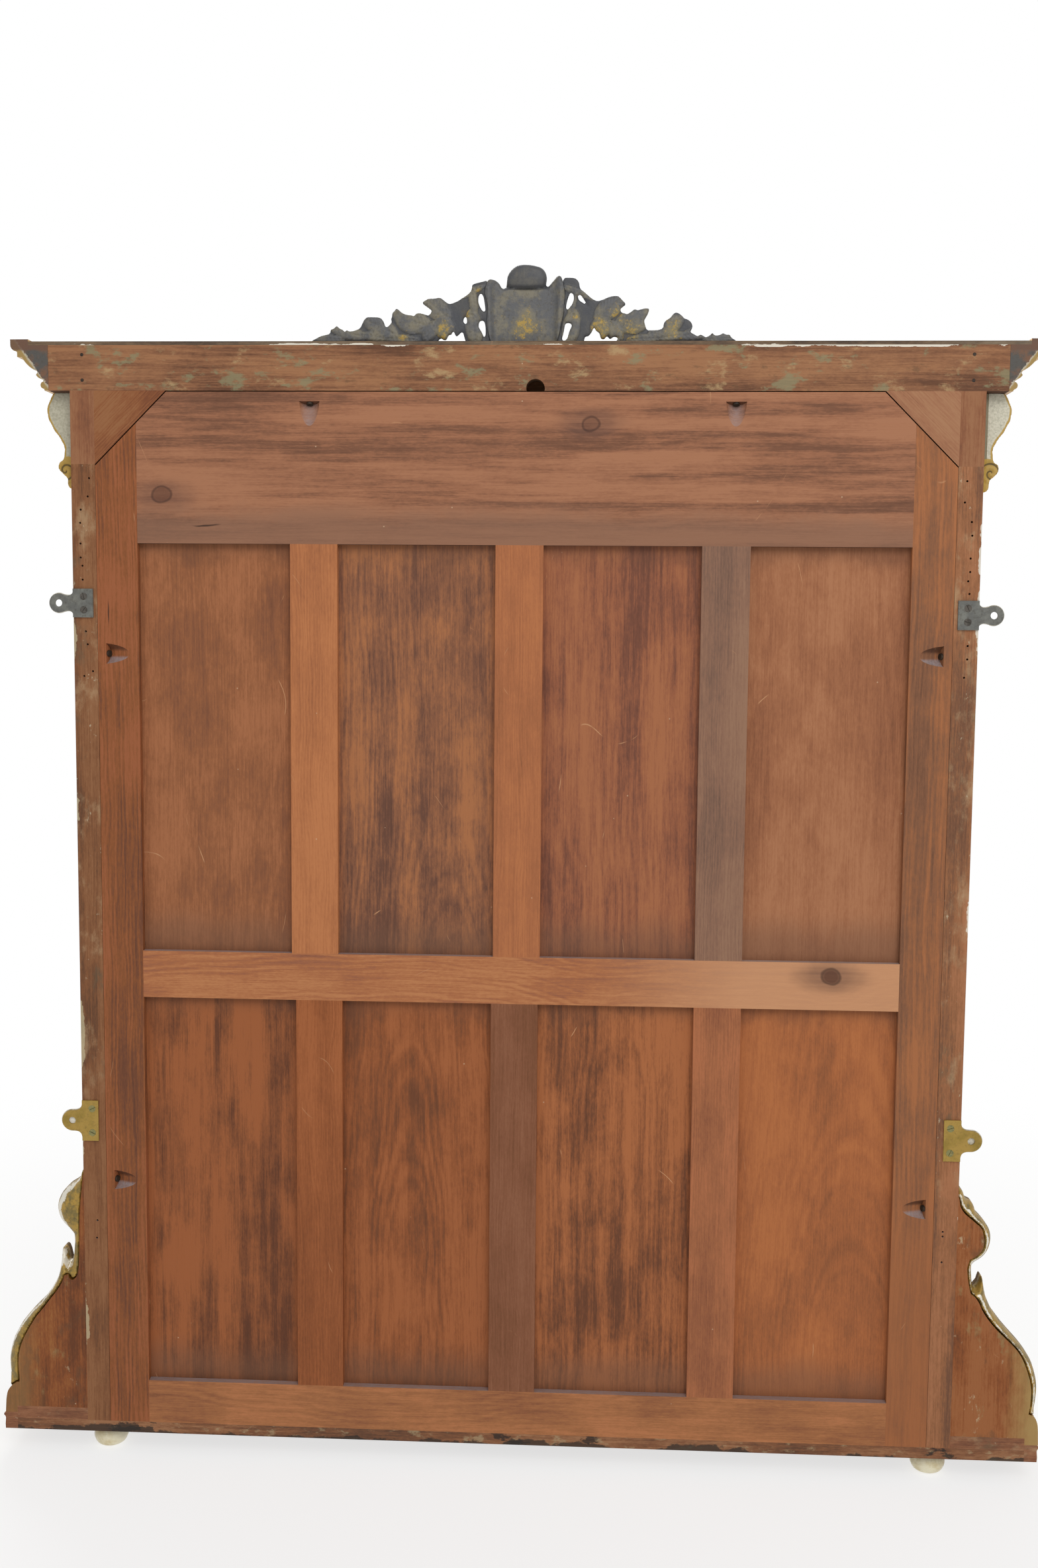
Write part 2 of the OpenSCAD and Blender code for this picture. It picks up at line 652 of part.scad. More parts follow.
garland_left_out = [[50, 74], [57, 74], [63, 73], [67, 68.5], [68.5, 62], [74, 57], [80, 52], [86, 48.3],
    [91, 47.5], [98, 50], [105, 52.3], [112, 53], [115.5, 51.5], [119, 48], [123, 44], [120.5, 41.5],
    [117, 38.5], [118, 34.5], [122, 33], [125, 32], [130, 35], [134, 37.7], [137, 36.5], [143, 38],
    [148, 39], [151, 38], [150, 33.5], [147.5, 29], [145.5, 25], [146.5, 19.5], [149, 14.5], [155, 13.5],
    [163, 14], [168, 16.5], [168.5, 20.5], [171, 24.5], [176, 27.5], [180, 32.5], [184, 34], [189, 31.5],
    [193, 27.5], [197.5, 26], [201.5, 22.5], [203, 17.5], [200.5, 11.5], [204, 9.5], [209, 6.8],
    [212.5, 8.5], [216, 7], [219, 5.6], [224, 8], [227, 10.5], [230, 7.5], [236, 8.3], [239.5, 10.5],
    [243, 8.4], [247, 8.4], [250, 4.5], [259, 0]];
// Openings through the garlands
garland_right_holes = [
    [[50, 57], [53, 54], [53.3, 46], [50, 38.5], [47, 35.5], [45, 37], [46, 46], [47.5, 53]],
    [[52, 25], [53, 18.5], [49, 11.5], [45.2, 4], [44.5, 12], [45, 20], [47, 25]],
    [[67, 20], [67, 27], [69.5, 30.5], [71.5, 24]]];
garland_left_holes = [
    [[57, 58], [60.3, 55.5], [61, 49], [58.5, 42.5], [53.5, 37], [52, 38], [52.5, 45], [54.5, 52]],
    [[51, 22], [56, 22.8], [59, 19.5], [56, 12], [53, 3], [47.5, 3], [49.5, 13]],
    [[65.8, 54], [69, 55], [74, 48], [77.5, 42.5], [71, 46], [67, 49]]];
// Gaps under the garlands, open to the top board
garland_right_gap = [[68, -1], [70, 6], [72.5, 12.5], [76.5, 9.5], [80, 7.3], [83.5, 13.5], [86, 9.5],
    [89, 9], [92, 3.5], [95, 3.2], [99, 5], [103.5, -1]];
garland_left_gap = [[73.5, -1], [75, 6.5], [79, 7.5], [83, 12.5], [85.5, 18], [88, 14], [92, 11], [94, 5],
    [98, 4], [101, 7.5], [105, 4], [109, 6.8], [113.5, 6], [114, 3], [109, -1]];

crest_x = crest_w / 2 / reach(garland_right_out, 0);
crest_z = crest_h / reach(shield_right, 1);

module crest_outline(points) polygon(scaled(points, crest_x, crest_z));

module crest_slab(thick) translate([0, 0, frame_h + cornice_h + top_board_t])
    slab(crest_set, thick) children();

module crest_shield() color("#5f5a50") crest_slab(shield_t) crest_outline(concat(
    smooth(shield_right, 3), [for (p = smooth(shield_left, 3)) [-p[0], p[1]]]));

// One garland from the middle outwards, with its openings
module garland(top, holes, gap) difference() {
    crest_outline(concat([[0, 0]], smooth(top, 3)));
    for (h = holes) crest_outline(smooth(concat(h, [h[0]]), 3));
    crest_outline(smooth(gap, 3));
}

module crest_garland_right() color("#5f5a50") crest_slab(garland_t) difference() {
    garland(garland_right_out, garland_right_holes, garland_right_gap);
    crest_outline(concat([[-1, -1], [38, -1]], smooth(shield_right, 3), [[-1, 90]]));
}

module crest_garland_left() color("#5f5a50") mirror([1, 0, 0]) crest_slab(garland_t) difference() {
    garland(garland_left_out, garland_left_holes, garland_left_gap);
    crest_outline(concat([[-1, 91]], smooth(shield_left, 3), [[41, -1], [-1, -1]]));
}

// ---- Consoles ----

// A console's side: distance out from its back, and height above its foot
console_side = sized(concat([[0, 118], [27, 118]], smooth([[27.4, 118], [31.5, 110], [34.5, 103], [35.5, 96],
    [34, 87], [29.4, 77], [24.4, 69], [19.3, 62], [15.3, 54], [14.8, 45.5], [15.8, 39]]),
    smooth([[21.4, 34.5], [22.6, 30], [22.4, 25.5], [18.3, 21], [13.3, 17]]),
    smooth([[12.4, 15.5], [11.8, 11], [10.3, 5], [6.2, 1], [0, 0]])),
    console_out, console_h);

module console_side(side) color("#b9b2a0") on_side(side)
    translate([post_out, 0, console_z]) slab(side_console_set, side_console_w) polygon(console_side);

module console_front(side) color("#bd9540") on_side(side)
    translate([post_out - pilaster_w, y_back - face_front, frame_z + console_z])
        rotate([90, 0, 90]) linear_extrude(pilaster_w) polygon([for (p = console_side) [-p[0], p[1]]]);

// ---- Wings ----

// Outlines of the wings: distance out from the post, and height above the foot of the
// frame. The two wings were carved by hand and differ. Each foot is stepped over the
// plinth moulding.
wing_foot = [[plinth_in - post_out, plinth_top], [plinth_in - post_out, 0], [0, 0]];
wing_carving_right = concat(
    smooth([[0, 335], [3, 330.5], [6.3, 326], [8.2, 319], [12.2, 314], [18.5, 309], [25, 305], [30.5, 299.5],
        [35, 293.5], [38.5, 286], [40.3, 278], [39.7, 269.5], [37, 262], [32, 255], [25.3, 249],
        [18.5, 243]]),
    smooth([[17.8, 236], [18.5, 226], [19.7, 215.5], [21.6, 205.5], [24.3, 197]]),
    smooth([[25.2, 200.2], [25.9, 206.5], [27.2, 214], [29.4, 220.5], [32.3, 223.3], [34.8, 221], [35.7, 215],
        [36.4, 205], [38, 194.5], [41.5, 183], [47.3, 171.5], [54.5, 161], [63.2, 150.5], [73, 140.5],
        [81.2, 131.5], [89, 121.5], [95.2, 111], [100.5, 100.5], [104.2, 89], [106.3, 77.5], [106.5, 64.5],
        [105.6, 51.5], [103.5, 40], [101, 32.5]]),
    smooth([[104, 30], [107, 24], [108.3, 16], [109, 8.5]]));
wing_carving_left = concat(
    smooth([[0, 335], [4, 332.5], [7, 329.5], [8.9, 326.4], [11.1, 320.5], [14.6, 315.3], [20.3, 312.8],
        [23.9, 306.3], [25.5, 300.4], [32.5, 293.2], [39.2, 285.3], [43.2, 278.8], [45, 270.8], [44.3, 261.4],
        [40.8, 252], [34.2, 243.7], [24.2, 237]]),
    smooth([[22.4, 235], [22.3, 226], [23.1, 215], [24.4, 201.2]]),
    smooth([[27.9, 203.2], [32.1, 208.7], [33.4, 214], [35.8, 219.6]]),
    smooth([[37.8, 213], [38.9, 205], [41.1, 194], [44.7, 185], [50.2, 174], [57.6, 163.7], [67, 151.8],
        [77.7, 140], [87.1, 129.4], [95.2, 118.8], [100.7, 109.5], [105, 97.5], [108, 85.3], [108.7, 74.5],
        [107.7, 60.8], [105.8, 48.5], [103.3, 38.5]]),
    smooth([[105.5, 35.5], [107.8, 28], [108.7, 18], [109, 8.5]]));
wing_board_right = concat(
    smooth([[0, 328], [1, 322], [3.6, 300], [5.1, 285], [6.4, 263], [6.9, 233], [7.6, 215], [8.7, 202],
        [11, 192], [16, 186.5], [20.5, 188], [22.3, 193]]),
    smooth([[27.4, 191.7], [31, 182], [38.2, 170.6], [47, 159.3], [55.5, 148], [63.7, 138], [70.4, 127.7],
        [77, 116.5], [82.7, 105.3], [87.4, 92], [89.4, 78.5], [89.6, 67.3], [88.6, 56.3], [88.8, 48.5]]),
    smooth([[92.7, 47.5], [99.3, 42.6], [104.2, 35.7], [106.2, 26.7], [106.8, 20], [107.5, 8.5]]));
wing_board_left = concat(
    smooth([[0, 325], [1.2, 322], [3, 312.7], [8, 304.4], [15.2, 298], [23.6, 291], [29.8, 285], [32.5, 276],
        [33.7, 268], [31.8, 258.4], [27, 252], [21, 247.5], [16.6, 245.3]]),
    smooth([[13.7, 234.6], [14.8, 221.8], [17.2, 209], [19.6, 200.2]]),
    smooth([[24.8, 197], [29.5, 190.3], [34.5, 179.7], [42.1, 168.2], [52.7, 155.7], [64.3, 144.3],
        [75.9, 133], [84.5, 121.3], [91, 106.5], [95.8, 91.6], [98, 76.6], [97.4, 59.3], [95.8, 47.5]]),
    smooth([[98.5, 46.4], [103.7, 43.4], [107, 36], [108.2, 27], [108.6, 18], [109, 8.5]]));
wing_x = wing_out / reach(wing_carving_right, 0);
wing_z = wing_h / reach(wing_carving_right, 1);

// A wing's slab at its post, from its drawn outer edge down to its stepped foot
module wing_slab(drawn, depth, thick) translate([post_out, 0, 0]) slab(depth, thick) {
    edge = scaled(drawn, wing_x, wing_z);
    polygon(concat(edge, [[edge[len(edge) - 1][0], plinth_top]], wing_foot));
}

module wing_carving(side) color("#b08a3c") on_side(side)
    wing_slab(side > 0 ? wing_carving_right : wing_carving_left, wing_board_t, wing_carving_t);

// The batten let into the back of a wing board's foot. The cut for it is open at the
// post, at the back and below.
module wing_batten(open = 0)
    block([post_out - open, plinth_in], [-open, batten_t], [-open, batten_h]);

module wing_board(side) color("#7c4a2c") on_side(side) difference() {
    wing_slab(side > 0 ? wing_board_right : wing_board_left, 0, wing_board_t);
    wing_batten(1);
}

module wing_battens() color("#9a6a4c") for (side = [-1, 1]) on_side(side) wing_batten();

// ---- Plinth and feet ----

module plinth_board() color("#4c3526")
    block([-plinth_in, plinth_in], [0, mould_front_in], [-plinth_t, 0]);

// The plinth moulding's section: distance out, and height above its underside
plinth_section = sized(
    concat([[0, 0], [16, 0], [16.3, 6]],
        smooth([[15.6, 14], [16.2, 16], [18, 18.5], [17, 21], [15, 22]]), [[0, 22]]),
    plinth_mould_w, plinth_mould_h);

module plinth_moulding_front() color("#a8843a") intersection() {
    translate([-plinth_half, y_back - mould_front_in, foot_h]) rotate([90, 0, 90])
        linear_extrude(2 * plinth_half) polygon([for (p = plinth_section) [-p[0], p[1]]]);
    translate([0, y_back - mould_front_in, 0]) linear_extrude(2 * frame_z) polygon([
        [-plinth_in, 0], [plinth_in, 0],
        [plinth_half, -plinth_mould_w], [-plinth_half, -plinth_mould_w]]);
}

module plinth_moulding_ends() color("#a8843a") for (side = [-1, 1]) on_side(side) intersection() {
    translate([plinth_in, y_back, foot_h]) rotate([90, 0, 0])
        linear_extrude(plinth_d) polygon(plinth_section);
    translate([plinth_in, y_back, 0]) linear_extrude(2 * frame_z) polygon([
        [0, 0], [plinth_mould_w, 0], [plinth_mould_w, -plinth_d], [0, -mould_front_in]]);
}

module bun_feet() color("#d8ccab") {
    side = sized(smooth([[13, 0], [20, 3.5], [23.6, 10], [24, 15], [22.4, 21], [18, 27], [15, 30]], 3),
        foot_d / 2, foot_h);
    for (sx = [-1, 1], depth = [foot_inset_y, plinth_d - foot_inset_y])
        translate([sx * (plinth_half - foot_inset_x), y_back - depth, 0])
            rotate_extrude() polygon(concat([[0, 0]], side, [[0, foot_h]]));
}

// ---- Hanging plates ----

// Outlines of the plates' necks: distance out from the post, and half the height
steel_neck = [[0, 13], [1.6, 10.6], [4.2, 9.2], [7.5, 9.2], [11, 9.9], [14, 10.8], [17.6, 11.5]];
brass_neck = [[0, 21], [1.2, 17], [4, 14.4], [8, 13.2], [12.6, 13]];

// A round-ended arm out from the post at height z: its neck as drawn, grown by a margin
module plate_arm(neck, end, end_r, z, depth, thick, grow) {
    sx = end / neck[len(neck) - 1][0];
    sz = end_r / neck[len(neck) - 1][1];
    half = [for (p = smooth(scaled(neck, sx, sz), 3)) p + [0, grow]];
    translate([post_out, 0, z]) slab(depth, thick)
        polygon(concat(half, [for (i = [len(half) - 1:-1:0]) [half[i][0], -half[i][1]]]));
    into_back(post_out + end, z, depth, thick, 2 * (end_r + grow));
}

// The countersunk holes of the screws s
module countersinks(s) for (p = s) {
    into_back(p[0], p[1], -p[2] - 0.01, head_t + 0.01,
        screw_head_d + 2 * screw_gap, screw_d + 2 * screw_gap);
    into_back(p[0], p[1], -p[2] - 1, p[2] + 2, screw_d + 2 * screw_gap);
}

module steel_plate(z) difference() {
    union() {
        block([post_out - steel_body_w, post_out], [-steel_t, 0],
            [z - steel_body_h / 2, z + steel_body_h / 2]);
        plate_arm(steel_neck, eye_out, eye_r, z, -steel_t, steel_t, 0);
    }
    into_back(post_out + eye_out, z, -steel_t - 1, steel_t + 2, hang_hole_d);
    countersinks(steel_screws(z));
}

module steel_hanging_plates() color("#5c5f60") {
    steel_plate(steel_z_right);
    mirror([1, 0, 0]) steel_plate(steel_z_left);
}

module brass_plate() difference() {
    union() {
        block([post_out - brass_body_w, post_out], [-brass_t, 0],
            [brass_z - brass_body_h / 2, brass_z + brass_body_h / 2]);
        plate_arm(brass_neck, tongue_out, tongue_r, brass_z, -brass_t, brass_t, 0);
    }
    into_back(post_out + tongue_out, brass_z, -brass_t - 1, brass_t + 2, hang_hole_d);
    countersinks(brass_screws());
}

module brass_hanging_plates() color("#a08a48") for (side = [-1, 1]) on_side(side) brass_plate();

// Gesso on the front of the plates' arms. It leaves the steel eyes open and stops
// the brass plates' holes.
module plate_coat(z, neck, end, end_r, hole) difference() {
    plate_arm(neck, end, end_r, z, 0, coat_t, coat_over);
    block([0, post_out], [-1, coat_t + 1], [z - 2 * end_r, z + 2 * end_r]);
    if (hole > 0) into_back(post_out + end, z, -1, coat_t + 2, hole);
}

module plate_coats() color("#d9d5c8") for (side = [-1, 1]) on_side(side) {
    plate_coat(side > 0 ? steel_z_right : steel_z_left, steel_neck, eye_out, eye_r, hang_hole_d + 1);
    plate_coat(brass_z, brass_neck, tongue_out, tongue_r, 0);
}

// A countersunk screw from a plate's back face, with its slot turned
module plate_screw(x, z, t, turn) difference() {
    union() {
        into_back(x, z, -t, head_t, screw_head_d, screw_d);
        into_back(x, z, -t, screw_l, screw_d);
    }
    translate([x, y_back + t, frame_z + z]) rotate([90, turn, 0])
        translate([-screw_head_d, -slot_w / 2, -1]) cube([2 * screw_head_d, slot_w, slot_deep + 1]);
}

module plate_screws() color("#6a5a44") for (side = [-1, 1]) {
    places = plate_screws_on(side);
    for (i = [0:len(places) - 1])
        on_side(side) plate_screw(places[i][0], places[i][1], places[i][2], 35 + 50 * i + 20 * side);
}

module pocket_screws() color("#4a4440") for (side = [-1, 1]) on_side(side) {
    for (z = side > 0 ? pocket_right_z : pocket_left_z) at_side_pocket(z) pocket_screw();
    at_top_pocket(pocket_top_x) pocket_screw();
}

backboard_stile(-1);  // backboard_stile_left
backboard_stile(1);  // backboard_stile_right
backboard_top_rail();
backboard_mid_rail();
backboard_bottom_rail();
upper_muntin(0);  // muntin_upper_left
upper_muntin(1);  // muntin_upper_centre
upper_muntin(2);  // muntin_upper_right
lower_muntin(0);  // muntin_lower_left
lower_muntin(1);  // muntin_lower_centre
lower_muntin(2);  // muntin_lower_right
panels_upper();
panels_lower();
post(-1);  // post_left
post(1);  // post_right
frame_top_rail();
frame_sill();
corner_block(-1);  // corner_block_left
corner_block(1);  // corner_block_right
face_stile(-1);  // face_stile_left
face_stile(1);  // face_stile_right
face_top_rail();
face_bottom_rail();
frame_moulding_side(-1);  // frame_moulding_left
frame_moulding_side(1);  // frame_moulding_right
frame_moulding_top();
frame_moulding_bottom();
pilaster(-1);  // pilaster_left
pilaster(1);  // pilaster_right
mirror_glass();
silvering();
glass_blocks();
cornice_back_board();
cornice_box();
cornice_top_board();
cornice_front_moulding();
cornice_return(-1);  // cornice_return_left
cornice_return(1);  // cornice_return_right
crest_shield();
crest_garland_left();
crest_garland_right();
console_side(-1);  // console_side_left
console_side(1);  // console_side_right
console_front(-1);  // console_front_left
console_front(1);  // console_front_right
wing_board(-1);  // wing_board_left
wing_board(1);  // wing_board_right
wing_carving(-1);  // wing_carving_left
wing_carving(1);  // wing_carving_right
wing_battens();
plinth_board();
plinth_moulding_front();
plinth_moulding_ends();
bun_feet();
steel_hanging_plates();
brass_hanging_plates();
plate_screws();
plate_coats();
pocket_screws();
cornice_nails();
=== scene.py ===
# %% [markdown]
# # Dressing a gilded overmantel mirror, seen from its panelled back
# The solids are packed as a fixed frame in metres. This lesson gives them what a solid
# can't have: rings and knots in the pine, old gilding, gesso, and carving in place of
# plain boards. New pieces are placed by the boxes of the frame's nodes.

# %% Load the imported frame
import math

import bpy
import numpy as np
from mathutils import Matrix, Vector
from mathutils.kdtree import KDTree


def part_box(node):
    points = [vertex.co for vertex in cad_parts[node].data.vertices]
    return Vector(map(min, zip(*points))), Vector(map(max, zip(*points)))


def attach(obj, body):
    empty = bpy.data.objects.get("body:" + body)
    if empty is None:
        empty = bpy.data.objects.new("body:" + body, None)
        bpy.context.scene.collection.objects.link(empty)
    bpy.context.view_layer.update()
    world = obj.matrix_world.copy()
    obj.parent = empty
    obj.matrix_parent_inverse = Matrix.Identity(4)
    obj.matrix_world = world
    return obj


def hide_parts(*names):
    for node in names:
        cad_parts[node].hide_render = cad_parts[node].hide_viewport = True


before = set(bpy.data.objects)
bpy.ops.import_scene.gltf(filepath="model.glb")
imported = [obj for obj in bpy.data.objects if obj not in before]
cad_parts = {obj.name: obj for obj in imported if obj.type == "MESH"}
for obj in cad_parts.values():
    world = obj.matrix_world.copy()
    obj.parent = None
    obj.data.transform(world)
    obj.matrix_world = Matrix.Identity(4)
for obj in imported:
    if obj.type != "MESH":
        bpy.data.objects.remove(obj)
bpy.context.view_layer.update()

# %% [markdown]
# ## Camera
# The picture was taken from behind, two metres away, looking down by five degrees. The
# three axes are those of the one camera that puts all measured board edges in place.

# %% Camera behind the mirror
to_right = (-0.9987, -0.0504, 0.0082)
to_top = (0.0129, -0.0925, 0.9956)
to_viewer = (-0.0494, 0.9944, 0.0930)
camera = bpy.data.objects.new("camera", bpy.data.cameras.new("camera"))
bpy.context.scene.collection.objects.link(camera)
turned = Matrix((to_right, to_top, to_viewer)).transposed().to_4x4()
camera.matrix_world = Matrix.Translation((-0.0970, 2.0091, 1.0572)) @ turned
camera.data.sensor_width = 36
camera.data.lens = 36.49
bpy.context.scene.camera = camera
bpy.context.scene.view_settings.view_transform = "Standard"
print("camera", tuple(round(v, 3) for v in camera.location), "lens", camera.data.lens)

# %% [markdown]
# ## Colours and nodes
# Colours are hex values, which one function turns to the linear ones that shaders use.
# Each tree has one function that adds a node: plain values go to its open sockets in
# order, words with a capital name a socket, and words in small letters are settings. A
# node given as a value is linked by its output.

# %% Two helpers for materials
def linear(hex_value):
    values = [int(hex_value[i:i + 2], 16) / 255 for i in (1, 3, 5)]
    return [v / 12.92 if v <= 0.04045 else ((v + 0.055) / 1.055) ** 2.4 for v in values] + [1.0]


def adder(tree):
    """Empties the tree and gives the function that adds nodes to it."""
    tree.nodes.clear()

    def add(kind, *values, **named):
        node = tree.nodes.new("ShaderNode" + kind)
        for key in [k for k in named if k[0].islower()]:
            setattr(node, key, named[key])
        pairs = list(zip([s for s in node.inputs if s.enabled], values))
        pairs += [(node.inputs[k.replace("_", " ")], named[k]) for k in named if k[0].isupper()]
        for socket, value in pairs:
            if isinstance(value, bpy.types.Node):
                value = [s for s in value.outputs if s.enabled][0]
            if isinstance(value, bpy.types.NodeSocket):
                tree.links.new(value, socket)
            else:
                socket.default_value = linear(value) if isinstance(value, str) else value
        return node
    return add


print("a mid brown in linear values", [round(v, 3) for v in linear("#8a5a3c")])

# %% [markdown]
# Patterns are noise with blotches of a size in millimetres, across and along the grain.
# Settings that many nodes share have short names: `soft` makes a Map Range ease in and
# out, `paint` makes a Mix node mix colours, and the others choose what a Math node does,
# which without them adds.

# %% Start, pattern and faces of a recipe
soft = dict(interpolation_type="SMOOTHSTEP")
paint = dict(data_type="RGBA")
operations = ("MULTIPLY", "MULTIPLY_ADD", "SUBTRACT", "DIVIDE", "MAXIMUM", "ABSOLUTE", "LENGTH")
times, times_plus, less, over, larger, unsigned, length = [dict(operation=o) for o in operations]


def start_material(name):
    """The material, the function that adds its nodes, and where a point of it lies."""
    material = bpy.data.materials.new(name)
    material.use_nodes = True
    add = adder(material.node_tree)
    return material, add, add("TexCoord").outputs["Object"]


def blotches(add, where, across_mm, along_mm, seed, detail=2.0, rough=0.5):
    stretch = (1000 / across_mm, 1000 / across_mm, 1000 / along_mm)
    placed = add("Mapping", where, (seed * 3.7, seed * 1.9, seed * 2.3), (0, 0, 0), stretch)
    return add("TexNoise", placed, 1.0, detail, rough)


def mesh_of(piece):
    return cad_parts[piece].data if isinstance(piece, str) else piece.data


def dress(material, *pieces):
    for piece in pieces:
        mesh_of(piece).materials.clear()
        mesh_of(piece).materials.append(material)


def dress_part(piece, material, chosen):
    """A second material, on the faces for which chosen(face) is true."""
    mesh_of(piece).materials.append(material)
    for face in mesh_of(piece).polygons:
        face.material_index = int(chosen(face))


print("recipe words ready")

# %% [markdown]
# ## Pine
# What the eye reads in a pine board is its year rings. A board is a slice of a round
# trunk, so its rings follow the distance from the heart of the trunk, which drifts a
# little along the board. A heart close behind the face gives tall arches, and one far to
# the side gives straight lines. A knot pushes the heart away, which bends the rings.

# %% Year rings
def year_rings(add, across, run, grain, seed, heart, deep, lean, ring, knots):
    """The rings, and for each knot two distances from it, its size and how dark it is."""
    drift = add("Math", blotches(add, grain, 1e6, 450, seed), 0.10, -0.05, **times_plus)
    slow = add("Math", blotches(add, grain, 70, 330, seed, 3.0), 0.028, -0.014, **times_plus)
    quick = add("Math", blotches(add, grain, 13, 60, seed, 3.0), 0.008, slow, **times_plus)
    side = add("Math", add("Math", across, heart, **less), quick)
    behind = add("Math", add("Math", run, lean, deep, **times_plus), drift)
    spots = []
    for at_across, at_run, size, fill in knots:
        ragged = add("Math", blotches(add, grain, 22, 22, seed, 1.0), 0.007, -0.0035, **times_plus)
        aside = add("Math", across, at_across, **less)
        further = add("Math", run, at_run, **less)
        reach = []
        for squeeze in (0.85, 0.45):
            offset = add("CombineXYZ", aside, 0.0, add("Math", further, squeeze, **times))
            reach.append(add("Math", add("VectorMath", offset, **length), ragged))
        push = add("MapRange", reach[0], 0.0, size * 4, size * 1.8, 0.0, **soft)
        behind = add("Math", behind, push)
        spots.append((reach, size, fill))
    radius = add("VectorMath", add("CombineXYZ", side, behind), **length)
    wheel = add("Math", add("Math", radius, 2000 * math.pi / ring, **times), operation="SINE")
    years = blotches(add, add("CombineXYZ", radius, 0.0, run), ring * 1.3, 500, seed, 4.0, 0.65)
    years = add("MapRange", years, 0.38, 0.62, 0.0, 0.5, **soft)
    return add("Math", wheel, years, **times), spots


print("rings ready")

# %% [markdown]
# Rings, long streaks, clouds of stain and fine fibres all add to one number, how dark the
# wood is at a point, and three tones follow it. Washes of old paint, dull zones, bands of
# painted shade, knots, cracks and scratches are laid over them.

# %% Tones and marks of a board
def stain(add, grain, seed, rings, tones, mix):
    """The stained colour, and the streaks, clouds, fibres and grit that it is made with."""
    bands = add("MapRange", blotches(add, grain, 26, 560, seed, 5.0, 0.62), 0.37, 0.66, **soft)
    cloud = add("MapRange", blotches(add, grain, 85, 150, seed + 2, 7.0, 0.66), 0.36, 0.65, **soft)
    fibre = add("MapRange", blotches(add, grain, 1.7, 60, seed, 3.0, 0.65), 0.34, 0.66)
    grit = add("MapRange", blotches(add, grain, 1.9, 7, seed, 2.0, 0.7), 0.32, 0.68)
    layers = ((bands, mix[1]), (cloud, 0.85 * mix[2]), (fibre, 0.44), (grit, 0.34))
    level = 0.5 - sum(amount for layer, amount in layers) / 2
    darkness = add("Math", rings, mix[0], level, **times_plus)
    for layer, amount in layers:
        darkness = add("Math", layer, amount, darkness, **times_plus)
    colour = tones[0]
    for start, end, most, tint in ((0.0, 0.5, 1.0, tones[1]), (0.5, 1.0, 1.0, tones[2]),
                                   (1.0, 1.6, 0.45, "#3b2820")):
        colour = add("Mix", add("MapRange", darkness, start, end, 0.0, most), colour, tint, **paint)
    return colour, bands, cloud, fibre, grit


def wash_dull_and_shade(add, across, run, grain, seed, colour, cloud, wash, clean, dull_and_shade):
    """Washes of old paint, wiped off below a height, then bands of dull wood and painted shade."""
    for tint, low, high, size, amount in wash:
        patch = blotches(add, grain, size, size * 2.0, seed + 5 + size, 7.0, 0.68)
        patch = add("MapRange", patch, low, high, 0.0, amount, **soft)
        if clean:
            patch = add("Math", patch, add("MapRange", run, *clean, **soft), **times)
        colour = add("Mix", patch, colour, tint, **paint)
    for way, start, end, tint, amount in dull_and_shade:
        edge = add("Math", cloud, 0.018, across if way == "across" else run, **times_plus)
        colour = add("Mix", add("MapRange", edge, start, end, 0.0, amount, **soft), colour, tint, **paint)
    return colour


def knots_and_cracks(add, across, run, grain, seed, colour, bands, spots, cracks):
    """Knots with a smear along the grain, a darker core and a ring, and then short cracks."""
    for (far, smear), size, fill in spots:
        zone = add("MapRange", smear, size * 0.8, size * 2.8, 0.7, 0.0, **soft)
        zone = add("Math", zone, add("MapRange", bands, 0.0, 1.0, 0.55, 1.0), **times)
        core = add("MapRange", far, size * 0.7, size * 1.1, fill, 0.0, **soft)
        rim = add("Math", add("Math", far, size, **less), **unsigned)
        rim = add("MapRange", rim, 0.0002, 0.0022, 0.6, 0.0, **soft)
        for part, tint in ((zone, "#5b4138"), (core, "#4a2c22"), (rim, "#3a2620")):
            colour = add("Mix", part, colour, tint, **paint)
    for at_across, at_run, half_wide, half_long in cracks:
        bent = add("Math", blotches(add, grain, 9, 40, seed + 6), 6 * half_wide, **times)
        aside = add("Math", add("Math", across, bent), at_across + 3 * half_wide, **less)
        aside = add("Math", aside, half_wide, **over)
        further = add("Math", add("Math", run, at_run, **less), half_long, **over)
        gap = add("VectorMath", add("CombineXYZ", aside, 0.0, further), **length)
        gap = add("MapRange", gap, 0.4, 1.1, 0.85, 0.0, **soft)
        colour = add("Mix", gap, colour, "#33241d", **paint)
    return colour


def scratches(add, where, seed, colour, scratch):
    """Pale scratches and small specks of old paint."""
    line = add("Math", blotches(add, where, 190, 300, seed + 9, 1.0), 0.5, **less)
    line = add("MapRange", add("Math", line, **unsigned), 0.0002, 0.0013, scratch, 0.0, **soft)
    here = add("MapRange", blotches(add, where, 38, 38, seed + 4, 2.0), 0.60, 0.68, **soft)
    colour = add("Mix", add("Math", line, here, **times), colour, "#b98a64", **paint)
    specks = add("TexVoronoi", where, Scale=60.0)
    rare = add("SeparateXYZ", specks.outputs["Color"])
    rare = add("Math", rare, 0.93, operation="GREATER_THAN")
    speck = add("MapRange", specks.outputs["Distance"], 0.03, 0.07, 0.6, 0.0, **soft)
    return add("Mix", add("Math", speck, rare, **times), colour, "#c3a88a", **paint)


print("tones and marks ready")
